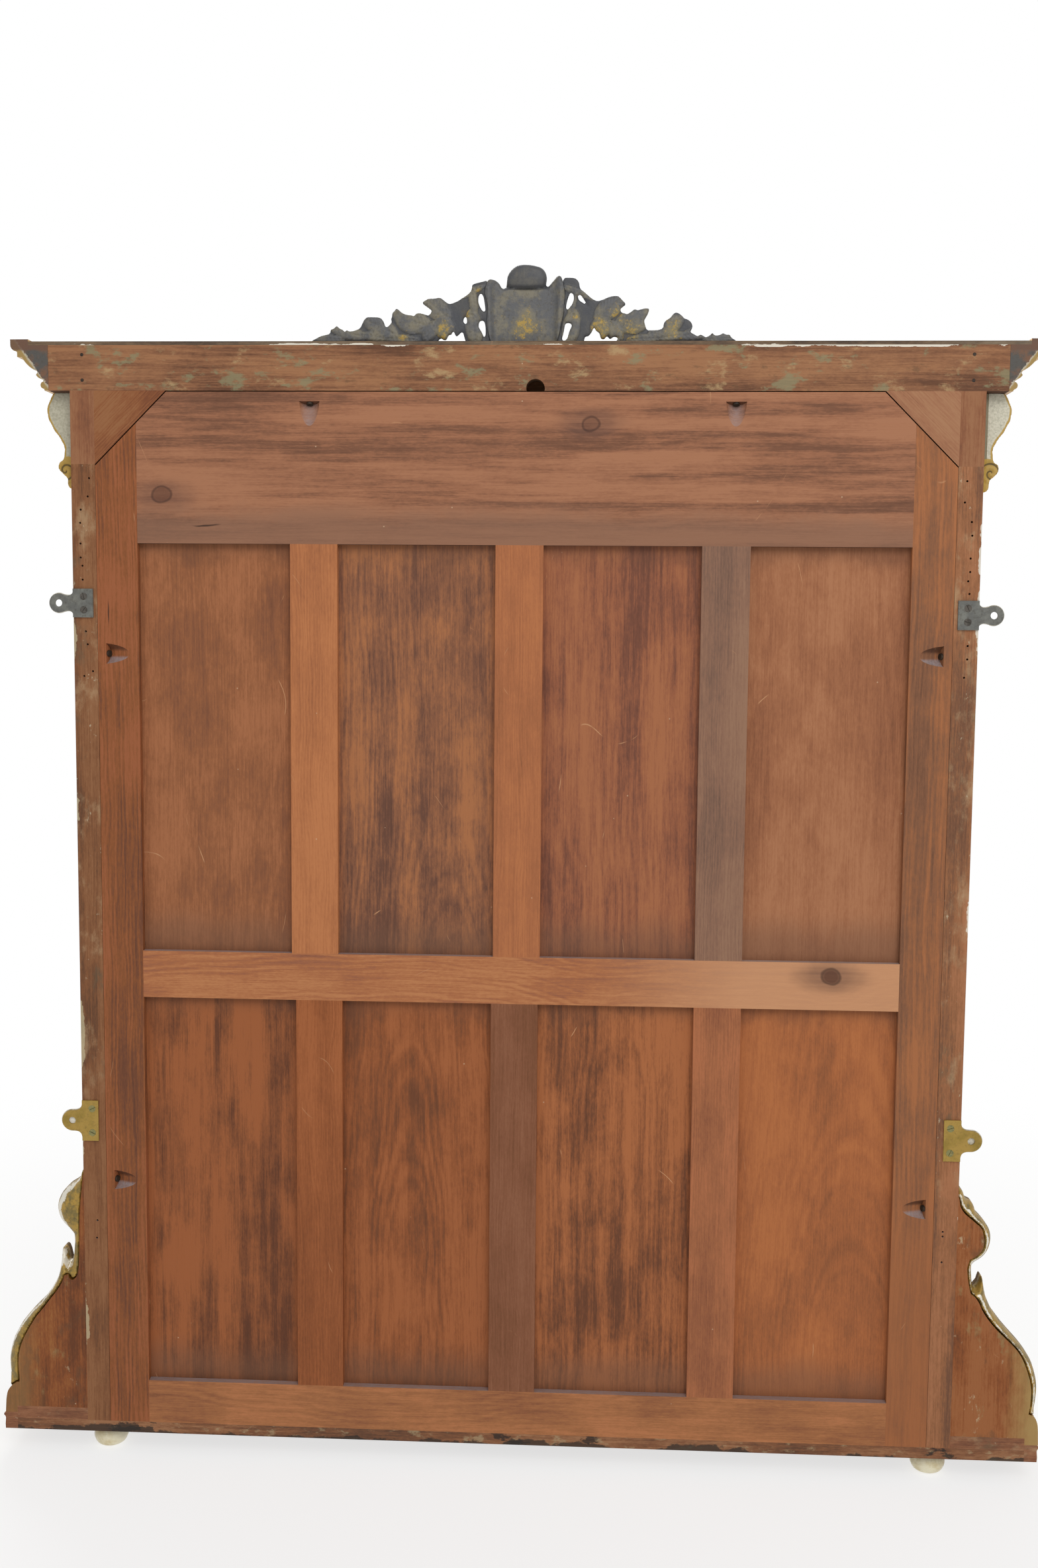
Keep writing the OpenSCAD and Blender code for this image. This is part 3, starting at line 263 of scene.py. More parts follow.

# %% [markdown]
# The recipe takes three tones, the grain's direction, where the heart lies beside and
# behind the face, the ring spacing in millimetres, and the shares of rings, streaks and
# clouds. Dust lies on what faces upwards, and the undersides of hollows, like every face
# that points down, get a painted shade.

# %% Recipe for a pine board
def pine(name, tones, along, heart, deep, ring, mix, seed, lean=0.0, knots=(), cracks=(),
         dull_and_shade=(), wash=(), clean=None, dust=0.8, scratch=0.5, turn=0):
    material, add, where = start_material(name)
    board = add("Mapping", where, (0, 0, 0), (0, math.radians(turn), 0))
    x, y, z = add("SeparateXYZ", board).outputs
    across, run = (x, z) if along == "Z" else (z, x)
    grain = add("CombineXYZ", across, y, run)
    ways = (add, across, run, grain, seed)
    rings, spots = year_rings(*ways, heart, deep, lean, ring, knots)
    colour, bands, cloud, fibre, grit = stain(add, grain, seed, rings, tones.split(), mix)
    colour = wash_dull_and_shade(*ways, colour, cloud, wash, clean, dull_and_shade)
    colour = knots_and_cracks(*ways, colour, bands, spots, cracks)
    colour = scratches(add, where, seed, colour, scratch)
    upward = add("SeparateXYZ", add("NewGeometry").outputs["Normal"]).outputs[2]
    settled = add("MapRange", upward, 0.15, 0.45, 0.0, dust, **soft)
    settled = add("Math", settled, add("MapRange", grit, 0.0, 1.0, 1.0, 0.55), **times)
    # Faces that point down get a painted shade.
    shade = add("MapRange", upward, -0.5, -0.15, 0.7, 0.0, **soft)
    for part, tint in ((settled, "#8f8789"), (shade, "#3a2218")):
        colour = add("Mix", part, colour, tint, **paint)
    height = add("Math", rings, 0.4, fibre, **times_plus)
    bump = add("Bump", Height=height, Strength=0.22, Distance=0.0004)
    rough = add("MapRange", fibre, 0.0, 1.0, 0.55, 0.7)
    shader = add("BsdfPrincipled", colour, Roughness=rough, Normal=bump, Specular_IOR_Level=0.15)
    add("OutputMaterial", shader)
    return material


print("pine recipe ready")

# %% Rails, stiles and muntins
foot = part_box("backboard_top_rail")[0].z
dress(pine("stained pine, top rail", "#9d6c4f #8f6046 #744e3a", "X", 0.5, 0.9, 9, (0.35, 1.0, 0.6), 1.1,
           knots=[(1.2245, 0.4376, 0.0092, 0.45), (1.3103, -0.083, 0.0088, 0.25)],
           cracks=[(1.1887, 0.3827, 0.0016, 0.019)],
           dull_and_shade=[("across", foot + 0.062, foot + 0.026, "#7f5d4a", 0.7)]), "backboard_top_rail")
dress(pine("orange pine, middle rail", "#b0764d #a06541 #8d5941", "X", 0.35, 0.5, 4, (0.5, 0.3, 0.6), 2.1,
           knots=[(0.6435, -0.3859, 0.0095, 0.75)],
           dull_and_shade=[("run", -0.05, -0.30, "#c08f6a", 0.75)]), "backboard_mid_rail")
dress(pine("stained pine, bottom rail", "#ac7049 #9a6540 #89573a", "X", -0.3, 0.5, 6, (0.4, 0.4, 0.7), 3.4),
      "backboard_bottom_rail")
dress(pine("stained pine, stile", "#925737 #824e2d #6b422e", "Z", 0.9, 0.1, 5, (0.7, 0.7, 0.7), 4.2,
           cracks=[(0.5054, 1.0812, 0.0011, 0.017)]), "backboard_stile_right")
dress(pine("stained pine, other stile", "#9d643f #8c5b3c #79523b", "Z", -0.9, 0.1, 6, (0.5, 0.7, 0.8), 5.7,
           dull_and_shade=[("run", 0.50, 0.20, "#925a37", 0.5)]), "backboard_stile_left")
muntins = {"muntin_upper_right": ("#b17248 #a66942 #985f3d", 6.1),
           "muntin_upper_centre": ("#aa6b43 #9e623f #905a3a", 7.3),
           "muntin_upper_left": ("#8c6a54 #82604d #725647", 8.2),
           "muntin_lower_right": ("#9b5c36 #8d522f #7f492a", 9.5),
           "muntin_lower_centre": ("#865940 #7d5038 #724830", 10.4),
           "muntin_lower_left": ("#a66744 #965e3e #865238", 11.8)}
for node, (tones, seed) in muntins.items():
    dress(pine("pine, " + node.replace("_", " "), tones, "Z", 0.7, 0.3, 3.4, (0.4, 0.4, 0.7), seed), node)
print("board materials", len(bpy.data.materials))

# %% [markdown]
# Two nodes hold four panels each, cut from different trees. Each panel gets its own
# material, chosen by where its faces are. A row gives its tones, how far its heart lies
# from its middle and behind its face, its ring spacing, its shares of rings, streaks and
# clouds, its seed and how much its heart leans.

# %% Panels
panels = {"panels_upper": [("#9c6442 #8a5738 #7a4d35", -0.10, 0.10, 5, (0.25, 0.2, 0.95), 20.3, 0.0),
                           ("#9f6742 #85573d #664435", -0.03, 0.020, 7, (0.42, 0.45, 0.85), 21.9, 0.04),
                           ("#9c6342 #8c563c #6f4535", 0.10, 0.10, 7, (0.3, 0.65, 0.6), 22.4, 0.0),
                           ("#a26e4d #966243 #87563b", 0.02, 0.05, 10, (0.3, 0.2, 0.9), 23.6, 0.05)],
          "panels_lower": [("#955834 #804c2e #633b27", -0.05, 0.08, 8, (0.3, 0.9, 0.9), 24.8, 0.0),
                           ("#995b36 #884f2e #71442b", 0.02, 0.03, 5, (0.5, 0.5, 0.9), 25.1, 0.06),
                           ("#a2633c #8a5333 #68402b", 0.0, 0.015, 7, (0.42, 0.6, 0.85), 26.7, 0.03),
                           ("#aa683d #9d5e38 #8a5434", -0.06, 0.05, 7, (0.4, 0.2, 0.9), 27.5, 0.12)]}
for node, four in panels.items():
    low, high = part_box(node)
    width = (high.x - low.x) / 4
    # Each panel gets a painted shade along the rail above it and a wider one along the rail below it.
    dull_and_shade = [("run", low.z + 0.075, low.z + 0.03, "#6f4f3d", 0.5),
            ("run", high.z - 0.03, high.z - 0.004, "#5f4030", 0.35)]
    mesh = mesh_of(node)
    mesh.materials.clear()
    for i, (tones, heart, *figure) in enumerate(four):
        heart += high.x - (i + 0.5) * width
        mesh.materials.append(pine(f"wide pine, {node} {i + 1}", tones, "Z", heart, *figure,
                                   dull_and_shade=dull_and_shade, scratch=0.9))
    for face in mesh.polygons:
        face.material_index = min(3, int((high.x - face.center.x) / width))
print("panel materials", sum(len(mesh_of(node).materials) for node in panels))

# %% [markdown]
# Pale washes, greenish smears and chips of white ground lie over the posts and the
# cornice board. The corner blocks' grain runs at 45 degrees. White ground ran into the
# joint under the top board, and dirt gathered along the plinth board's lower edge.

# %% Posts and corner blocks
old_wash = [("#a98c6a", 0.50, 0.68, 30.0, 0.6), ("#5f5340", 0.56, 0.70, 24.0, 0.5),
            ("#c9bda0", 0.64, 0.70, 7.0, 0.5)]
dress(pine("washed pine, post", "#885d3e #794f33 #61412d", "Z", 0.9, 0.2, 4, (0.2, 0.7, 0.7), 31.2,
           wash=old_wash, clean=(0.38, 0.56),
           dull_and_shade=[("across", 0.5624, 0.5631, "#c2b592", 0.55)]), "post_right")
dress(pine("washed pine, other post", "#9e6a49 #8c5d3e #714d38", "Z", -0.9, 0.2, 4, (0.2, 0.7, 0.7), 32.9,
           wash=old_wash, clean=(0.32, 0.44),
           dull_and_shade=[("across", -0.5462, -0.5470, "#d8d2c4", 0.8)]), "post_left")
dress(pine("pine, corner block", "#8c5e3d #835132 #71432b", "Z", 0.2, 0.4, 3, (0.5, 0.4, 0.8), 33.4, turn=45),
      "corner_block_right")
dress(pine("pine, other corner block", "#9c7152 #94664a #825840", "Z", -0.2, 0.4, 3, (0.4, 0.3, 0.8), 34.8,
           turn=-45), "corner_block_left")
print("materials", len(bpy.data.materials))

# %% Boards of the cornice, the wings and the plinth
top_edge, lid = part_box("cornice_back_board")[1].z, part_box("cornice_top_board")[0].z
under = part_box("plinth_board")[0].z
dress(pine("smeared pine, cornice board", "#946848 #80573d #63422f", "X", 1.0, 0.4, 6, (0.3, 0.7, 0.8), 35.1,
           wash=[("#7f7c5e", 0.55, 0.64, 18.0, 0.7), ("#ab9068", 0.56, 0.67, 28.0, 0.7),
                 ("#5d4632", 0.57, 0.68, 12.0, 0.5)],
           dull_and_shade=[("across", top_edge + 0.0150, top_edge + 0.0156, "#d9d2c3", 0.9)]), "cornice_back_board")
dress(pine("dark pine, top board", "#75604a #5f4d3d #463a32", "X", 0.9, 0.4, 5, (0.3, 0.5, 0.8), 39.5,
           wash=[("#8b8270", 0.45, 0.70, 80.0, 0.4)], dust=0.35,
           dull_and_shade=[("across", lid + 0.0026, lid + 0.0021, "#d9d2c3", 0.8)]), "cornice_top_board")
for node, tones, seed in (("wing_board_right", "#935f35 #834c2a #663c25", 36.2),
                          ("wing_board_left", "#935c37 #854d2a #693e26", 37.7)):
    dress(pine("pine, " + node.replace("_", " "), tones, "Z", 0.9, 0.2, 5, (0.2, 0.6, 1.0), seed,
               wash=[("#8f7a52", 0.58, 0.70, 22.0, 0.6), ("#5c4330", 0.56, 0.68, 30.0, 0.5),
                     ("#bfae8c", 0.62, 0.70, 13.0, 0.55)],
               dull_and_shade=[("across", 0.610, 0.652, "#8a6d45", 0.5),
                     ("across", -0.606, -0.645, "#a38b57", 0.75)]), node)
dress(pine("pale pine, battens", "#98694b #85583e #6d4633", "X", 0.0, 0.4, 3, (0.3, 0.5, 0.8), 38.3,
           wash=old_wash), "wing_battens")
dress(pine("pine, plinth board", "#94694a #7c5238 #5f4130", "X", 0.2, 0.4, 5, (0.3, 0.8, 0.8), 40.6,
           wash=[("#a3906f", 0.55, 0.66, 13.0, 0.6), ("#2a2623", 0.60, 0.64, 40.0, 0.85)],
           dull_and_shade=[("across", under + 0.0125, under + 0.0095, "#2f2a26", 0.85)]), "plinth_board")
dress(pine("inner pine", "#a2724f #94643f #7c5238", "X", 0.2, 0.4, 5, (0.4, 0.4, 0.7), 41.4),
      "frame_top_rail", "frame_sill", "cornice_box", "glass_blocks")
rail_ends = pine("inner pine, rail ends", "#8f6345 #82543a #6e4733", "Z", 0.9, 0.2, 5, (0.2, 0.4, 0.9), 42.8)
dress_part("frame_top_rail", rail_ends, lambda face: abs(face.center.x) > 0.5)
print("materials", len(bpy.data.materials))

# %% [markdown]
# ## Old gilding
# Gold leaf was laid over red-brown clay. It is bright on the high places, shows the clay
# where hands rubbed it, has patches of grime, and gets a painted shade of dull brown in the
# hollows. Carved pieces store how high each point lies in an attribute called "rise", from
# 0 to 1. Plain pieces have none.

# %% Recipe for gilding
def gilding(name, seed, gold="#c79a4a", carved=True, grime=0.35):
    material, add, where = start_material(name)
    cloud = blotches(add, where, 45, 45, seed, 4.0, 0.6)
    fine = blotches(add, where, 5, 5, seed + 1, 3.0)
    colour = add("Mix", add("MapRange", cloud, 0.35, 0.7, **soft), gold, "#a87d38", **paint)
    worn = add("MapRange", add("Math", cloud, fine, **times), 0.33, 0.42, 0.0, 0.7, **soft)
    dirt = add("MapRange", fine, 0.52, 0.72, 0.0, grime, **soft)
    if carved:
        rise = add("Attribute", attribute_name="rise").outputs["Fac"]
        # Low rise, in the hollows, gives a painted shade of dull brown that is also less metallic.
        dirt = add("Math", dirt, add("MapRange", rise, 0.10, 0.62, 0.9, 0.0, **soft), **larger)
        worn = add("Math", worn, add("MapRange", rise, 0.75, 0.95, 0.3, 1.0, **soft), **times)
    for part, tint in ((worn, "#8c4a2b"), (dirt, "#55401f")):
        colour = add("Mix", part, colour, tint, **paint)
    dull_and_shade = add("Math", worn, dirt, **larger)
    metal = add("MapRange", dull_and_shade, 0.0, 0.8, 0.85, 0.1)
    rough = add("MapRange", dull_and_shade, 0.0, 0.8, 0.34, 0.7)
    bump = add("Bump", Height=fine, Strength=0.2, Distance=0.0006)
    add("OutputMaterial", add("BsdfPrincipled", colour, metal, rough, Normal=bump))
    return material


fronts = ("face_", "frame_moulding", "pilaster", "cornice_front", "cornice_return", "plinth_moulding",
          "console_front")
gilt = [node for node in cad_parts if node.startswith(fronts)]
dress(gilding("old water gilding", 1.4, carved=False), *gilt)
sides = gilding("old gilding, rubbed sides", 3.8, gold="#b9924a", carved=False, grime=0.6)
dress_part("post_right", sides, lambda face: face.normal.x > 0.9)
dress_part("post_left", sides, lambda face: face.normal.x < -0.9)
dress_part("plinth_board", sides, lambda face: face.normal.z > 0.9)
for node in ("wing_board_right", "wing_board_left"):
    dress_part(node, sides, lambda face: abs(face.normal.y) < 0.5)
dress_part("plinth_moulding_ends", mesh_of("wing_battens").materials[0], lambda face: face.normal.y > 0.9)
print("gilded nodes", len(gilt))

# %% [markdown]
# ## Backs of the gilded work
# Behind, the crest was painted bronze grey and rubbed with gold paint, the consoles were
# left in their grey-white ground, and the wings have a line of bare ground beside the
# board. One recipe covers them: a first coat, a second one in patches, and marks. A stored
# attribute says where a mark goes, or a slanted line, which is mirrored left to right.

# %% Recipe for the backs
def coat(name, first, second, low, high, size, seed, marks=(), metal=0.0, rough=0.6,
         grit=0.0008, grime=0.45):
    material, add, where = start_material(name)
    patch = blotches(add, where, size, size, seed, 6.0, 0.66)
    fine = blotches(add, where, 3.5, 3.5, seed + 3, 4.0, 0.6)
    colour = add("Mix", add("MapRange", patch, low, high, **soft), first, second, **paint)
    dirt = add("MapRange", fine, 0.50, 0.72, 0.0, grime, **soft)
    colour = add("Mix", dirt, colour, "#3f382c", **paint)
    for line, tint, start, end, ragged in marks:
        if isinstance(line, str):
            place = add("Attribute", attribute_name=line).outputs["Fac"]
        else:
            mirrored = add("VectorMath", where, **unsigned)
            place = add("VectorMath", mirrored, line, operation="DOT_PRODUCT")
        wavy = add("Math", blotches(add, where, 7, 7, seed + 7, 8.0, 0.8), 0.5, **less)
        place = add("Math", wavy, ragged, place, **times_plus)
        place = add("MapRange", place, start, end, 0.0, 0.9, **soft)
        colour = add("Mix", place, colour, tint, **paint)
    bump = add("Bump", Height=fine, Strength=0.5, Distance=grit)
    add("OutputMaterial", add("BsdfPrincipled", colour, metal, rough, Normal=bump, Specular_IOR_Level=0.3))
    return material


print("coat recipe ready")

# %% [markdown]
# The plates and screws, the feet and the back of the silvering take the same recipe. Brass
# screws are greener than their plates, and their height tells them from the steel ones.

# %% Plates, screws, feet and silvering
brass_below = 0.7
dress(coat("dark steel with old grime", "#5c5c58", "#6f6f68", 0.40, 0.66, 12, 2.2, rough=0.5),
      "steel_hanging_plates")
dress(coat("yellow brass, tarnished", "#a38543", "#8d7535", 0.42, 0.66, 24, 3.1, metal=0.5, rough=0.42,
           grit=0.0002, grime=0.25), "brass_hanging_plates")
dress(coat("old screw heads", "#55504a", "#403c37", 0.45, 0.6, 5, 4.5, metal=0.4, rough=0.5), "plate_screws")
green = coat("brass screw heads, greenish", "#7f7b50", "#8d8455", 0.45, 0.6, 5, 9.6, metal=0.3)
dress_part("plate_screws", green, lambda face: face.center.z < brass_below)
dress(coat("iron screws and nails", "#35291f", "#211913", 0.45, 0.6, 5, 5.5, metal=0.2),
      "pocket_screws", "cornice_nails")
dress(coat("white ground", "#d8d3c6", "#b9b19c", 0.45, 0.62, 14, 6.1), "plate_coats")
dress(coat("cream and gilt on the feet", "#e2dabd", "#cdbe95", 0.46, 0.66, 30, 7.3, rough=0.3, grime=0.06),
      "bun_feet")
dress(coat("back coat of the silvering", "#5c4c48", "#4a3c39", 0.45, 0.6, 30, 8.4), "silvering")
print("backs ready")

# %% [markdown]
# ## Carving
# A carver starts from a board that is sawn to its outline, and so does this step: a voxel
# remesh turns a copy of the CAD board into an even skin of small faces. Its front and back
# are then moved in and out: rounded towards the outline, with ridges where leaves and
# scrolls run. How far a point lies from the outline is measured to the CAD board's edge.

# %% Tools for carving
def select_only(piece):
    bpy.ops.object.select_all(action="DESELECT")
    piece.select_set(True)
    bpy.context.view_layer.objects.active = piece


def apply_new(piece, kind, **settings):
    modifier = piece.modifiers.new(kind.lower(), kind)
    for key, value in settings.items():
        setattr(modifier, key, value)
    select_only(piece)
    bpy.ops.object.modifier_apply(modifier=modifier.name)


def points_of(piece):
    co = np.zeros(len(piece.data.vertices) * 3)
    piece.data.vertices.foreach_get("co", co)
    return co.reshape(-1, 3)


def set_points(piece, co):
    piece.data.vertices.foreach_set("co", co.ravel())
    piece.data.update()


def store(piece, name, values):
    layer = piece.data.attributes.get(name) or piece.data.attributes.new(name, "FLOAT", "POINT")
    layer.data.foreach_set("value", np.clip(values, 0, 1).astype(np.float32))


def finish_piece(piece, material, *nodes, smooth_angle=60):
    dress(material, piece)
    select_only(piece)
    bpy.ops.object.shade_smooth_by_angle(angle=math.radians(smooth_angle))
    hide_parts(*nodes)
    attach(piece, "root")
    piece.data.calc_loop_triangles()
    print(piece.name, len(piece.data.loop_triangles), "triangles")


print("tools for carving ready")

# %% Outlines of a sawn board
def flat_ways(way):
    return [k for k in range(3) if k != way]


def outline_of(node, way=1):
    """Pieces of the outline at the end of the board, as pairs of points without that way."""
    mesh = mesh_of(node)
    co = np.array([v.co for v in mesh.vertices])
    end = co[:, way].max() - 1e-5
    keep = flat_ways(way)
    pieces = []
    for face in mesh.polygons:
        if abs(face.normal[way]) < 0.5:
            for i, j in face.edge_keys:
                if co[i, way] > end and co[j, way] > end:
                    pieces.append((co[i, keep], co[j, keep]))
    return np.array(pieces)


def distance_to(outline, flat, step=0.0006):
    samples = []
    for start, stop in outline:
        count = max(2, int(np.linalg.norm(stop - start) / step) + 1)
        samples += [start + (stop - start) * k / (count - 1) for k in range(count)]
    tree = KDTree(len(samples))
    for i, (u, v) in enumerate(samples):
        tree.insert((u, v, 0.0), i)
    tree.balance()
    return np.array([tree.find((u, v, 0.0))[2] for u, v in flat])


def inside(outline, flat):
    """True where a ray crosses the outline an odd number of times."""
    odd = np.zeros(len(flat), bool)
    for (u1, v1), (u2, v2) in outline:
        if v1 != v2:
            hit = (flat[:, 1] > v1) != (flat[:, 1] > v2)
            odd ^= hit & (flat[:, 0] < u1 + (flat[:, 1] - v1) * (u2 - u1) / (v2 - v1))
    return odd


print("outline of a wing has", len(outline_of("wing_carving_right")), "pieces")

# %% Even skin, and heights over it
def skin_of(node, name, voxel):
    """The new piece, its points, the board's corners and how far back each point lies."""
    piece = bpy.data.objects.new(name, mesh_of(node).copy())
    bpy.context.scene.collection.objects.link(piece)
    select_only(piece)
    bpy.ops.object.mode_set(mode="EDIT")
    bpy.ops.mesh.select_all(action="SELECT")
    bpy.ops.mesh.remove_doubles(threshold=0.00001)
    bpy.ops.object.mode_set(mode="OBJECT")
    apply_new(piece, "REMESH", mode="VOXEL", voxel_size=voxel)
    co = points_of(piece)
    low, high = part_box(node)
    return piece, co, low, high, np.clip((co[:, 1] - low.y) / (high.y - low.y), 0, 1)


def move_sides(piece, co, front, back, share, rounds):
    co[:, 1] = front * (1 - share) + back * share
    set_points(piece, co)
    apply_new(piece, "SMOOTH", factor=0.5, iterations=rounds)


def dress_back(piece, material, share, start):
    dress_part(piece, material, lambda face: np.mean(share[list(face.vertices)]) > start)


def ease(values):
    """From 0 to 1 without a corner at either end."""
    values = np.clip(values, 0, 1)
    return values * values * (3 - 2 * values)


def bell(values):
    """1 in the middle, where the value is 0, and nothing far to both sides."""
    return np.exp(-values ** 2)


def ball(squared):
    """The height of a round knob, by the squared distance from its middle."""
    return np.sqrt(np.clip(1 - squared, 0, 1))


def rolled(reach, radius, height):
    """How far an edge that is rounded like a quarter circle falls away, at a distance from it."""
    near = 1 - np.clip(reach / radius, 0, 1)
    return height * (1 - np.sqrt(1 - near ** 2))


def spiral(flat, centre, reach, pitch, turn):
    along = flat - np.array(centre)
    radius = np.hypot(along[:, 0], along[:, 1])
    angle = np.arctan2(along[:, 1], along[:, 0]) * turn
    ridge = 0.5 + 0.5 * np.cos(2 * math.pi * radius / pitch - angle)
    return ridge ** 0.7 * ease((reach - radius) / (reach * 0.3)), ease((reach - radius) / (reach * 0.25))


print("skin tools ready")

# %% [markdown]
# ## Wings
# Behind, a wing's carving rounds back to lie flush with its board. In front it is a
# scroll: a spiral ridge in the wide foot, a small one in the upper lobe, and ridges along
# the neck that follow the outline.

# %% Carve the wings
wing_backs = coat("back of a gilded wing", "#a5853f", "#7b6a3d", 0.42, 0.6, 14, 11.2,
                  marks=[("ground", "#e4dfd2", 0.62, 0.78, 2.2)], metal=0.35, rough=0.45)
wing_front = gilding("carved gilding, wings", 12.5)
back_roll, edge_fall, cut_deep, edge_soft, ridge_pitch = 0.020, 0.011, 0.0055, 0.007, 0.0105
for side, sign, ground_line in (("right", 1, 0.85), ("left", -1, 0.42)):
    board, carving = outline_of("wing_board_" + side), outline_of("wing_carving_" + side)
    wing, co, low, high, share = skin_of("wing_carving_" + side, "carved_wing_" + side, 0.0017)
    flat = co[:, [0, 2]]
    edge, to_board = distance_to(carving, flat), distance_to(board, flat)
    outside = ~inside(board, flat)
    rim = np.where(outside, to_board / (to_board + edge + 1e-6), 0.0)
    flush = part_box("wing_board_" + side)[1].y - 0.001
    back = np.where(outside, flush - rolled(1 - rim, 1, back_roll), high.y)
    foot_x = sign * (abs(low.x if sign > 0 else high.x) + 0.056)
    swirl, zone = spiral(flat, (foot_x, low.z + 0.078), 0.047, 0.017, sign)
    curl, small = spiral(flat, (foot_x - sign * 0.038, low.z + 0.274), 0.019, 0.010, -sign)
    leaf = 0.5 + 0.5 * np.cos(2 * math.pi * edge / ridge_pitch)
    rise = np.maximum(np.maximum(swirl, curl), leaf * (1 - np.maximum(zone, small)))
    round_off = ease(edge / edge_soft)
    front = low.y + edge_fall * (1 - round_off) + cut_deep * (1 - rise) * round_off
    move_sides(wing, co, front, back, share, 3)
    # Rise falls to 0 at the rounded outline, so the gilding's painted shade darkens the edge too.
    store(wing, "rise", np.where(share < 0.7, rise * round_off, 0.6))
    store(wing, "ground", np.where(outside, bell((rim - ground_line) / 0.17), 0.0))
    finish_piece(wing, wing_front, "wing_carving_" + side)
    dress_back(wing, wing_backs, share, 0.55)

# %% [markdown]
# ## Crest
# The shield has a domed cap, side rims that roll towards the back, and a shallow dish
# between them. Its front is a guess: a shell on the cap and an oval boss in a border. The
# cap sits 4 mm and the body 2 mm to one side. Places are in millimetres from the foot.

# %% Shield
def free_pieces(node, *neighbours):
    """The outline of a crest piece without its foot and where a neighbour carries on."""
    outline = outline_of(node)
    middles = outline.mean(axis=1)
    keep = middles[:, 1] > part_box(node)[0].z + 0.0003
    for other in neighbours:
        keep &= distance_to(outline_of(other), middles) > 0.0004
    return outline[keep]


# The last mark is a darker tone on the shield's cap and painted shade in its groove, along its sides and
# between the garlands' leaves.
bronze = coat("bronze paint, rubbed with gold", "#565657", "#736d5e", 0.40, 0.62, 24, 14.3, rough=0.5,
              marks=[("gold", "#7c7150", 0.3, 1.3, 1.6), ("gold", "#a2853f", 0.85, 1.25, 5.5),
                     ("dark", "#3e3f43", 0.2, 1.1, 0.8)])
crest_front = gilding("carved gilding, crest", 15.5)
shield, co, low, high, share = skin_of("crest_shield", "carved_shield", 0.0013)
flat = co[:, [0, 2]]
edge = distance_to(free_pieces("crest_shield", "crest_garland_left", "crest_garland_right"), flat)
whole = distance_to(outline_of("crest_shield"), flat)
x, z = flat[:, 0] * 1000, (flat[:, 1] - low.z) * 1000
cap_x, body_x, neck = x + 4, x + 2, z - 63.5
cap = ease(neck / 2.5) * (np.abs(cap_x) < 28)
dome = ball((cap_x / 25) ** 2 + ((z - 76) / 17) ** 2)
across = np.abs(body_x)
side_rim = bell((across - 40.5 - 0.05 * z) / 3.2) * (z < 66) * (across > 30)
dish = ease((42 - across) / 8)
behind = (1 - cap) * (0.0036 * dish - 0.0018 * side_rim + 0.0016) + cap * (0.0058 - 0.0052 * dome)
behind += 0.0030 * bell((neck - 0.004 * cap_x ** 2) / 1.5) * (np.abs(cap_x) < 25)
behind += rolled(edge, 0.0045, 0.0045)
oval = np.hypot(body_x / 17, (z - 31) / 22)
raised = np.maximum(0.95 * ball(oval ** 2), 0.7 * bell((oval - 1.22) / 0.09))
raised = np.maximum(raised, 0.9 * bell((whole - 0.004) / 0.0022))
fan = 0.55 + 0.45 * np.abs(np.cos(8.5 * np.arctan2(cap_x, z - 58)))
rise = np.maximum((1 - cap) * raised + cap * fan, 0.3)
ahead = 0.0012 + 0.0070 * (1 - rise) + rolled(edge, 0.004, 0.003)
move_sides(shield, co, low.y + ahead, high.y - behind, share, 2)
store(shield, "rise", rise)
low_rub, high_rub = bell(body_x / 20) * bell((z - 17) / 13), bell(cap_x / 7) * bell((z - 34) / 12)
store(shield, "gold", 0.95 * low_rub + 0.5 * high_rub + 0.15)
# The groove under the cap and the shield's outer sides get painted shade, and the cap is painted a darker
# tone.
groove = bell(neck / 2.5) * (np.abs(cap_x) < 28)
store(shield, "dark", 0.8 * cap + 0.9 * groove + 0.6 * (1 - dish) * (1 - side_rim))
finish_piece(shield, crest_front, "crest_shield")
dress_back(shield, bronze, share, 0.03)

# %% [markdown]
# A leaf is given by how far out and up its root lies, its direction in degrees, its length
# and width, and a berry by its place and radius, in millimetres from the middle of the
# crest's foot. Where leaves cross, the higher one is kept, which gives crisp overlaps.
# Gold paint was rubbed on in round patches, which differ from left to right.

# %% Leaves and berries of the garlands
leaves = [(44, 67, -22, 46, 9), (61, 64, -97, 34, 11), (62, 40, -99, 46, 22), (86, 26, 38, 44, 25),
          (97, 32, -104, 32, 24), (104, 26, -62, 30, 17), (108, 16, 21, 52, 28), (128, 10, 46, 38, 20),
          (150, 7, 27, 48, 24), (160, 4, 8, 40, 12), (186, 5, 14, 48, 17), (214, 3, 3, 46, 11),
          (124, 3, 2, 44, 12)]
berries = [(72, 33, 4.6), (78, 26, 4.2), (67, 24, 4.0), (77, 39, 3.8), (146, 16, 3.8), (184, 10, 3.2)]
rubs = {"right": ((95, 18, 9), (97, 8, 7), (68, 34, 8), (144, 5, 9), (52, 60, 6)),
        "left": ((92, 20, 13), (96, 8, 9), (129, 12, 15), (179, 14, 12), (64, 30, 6), (112, 34, 8))}


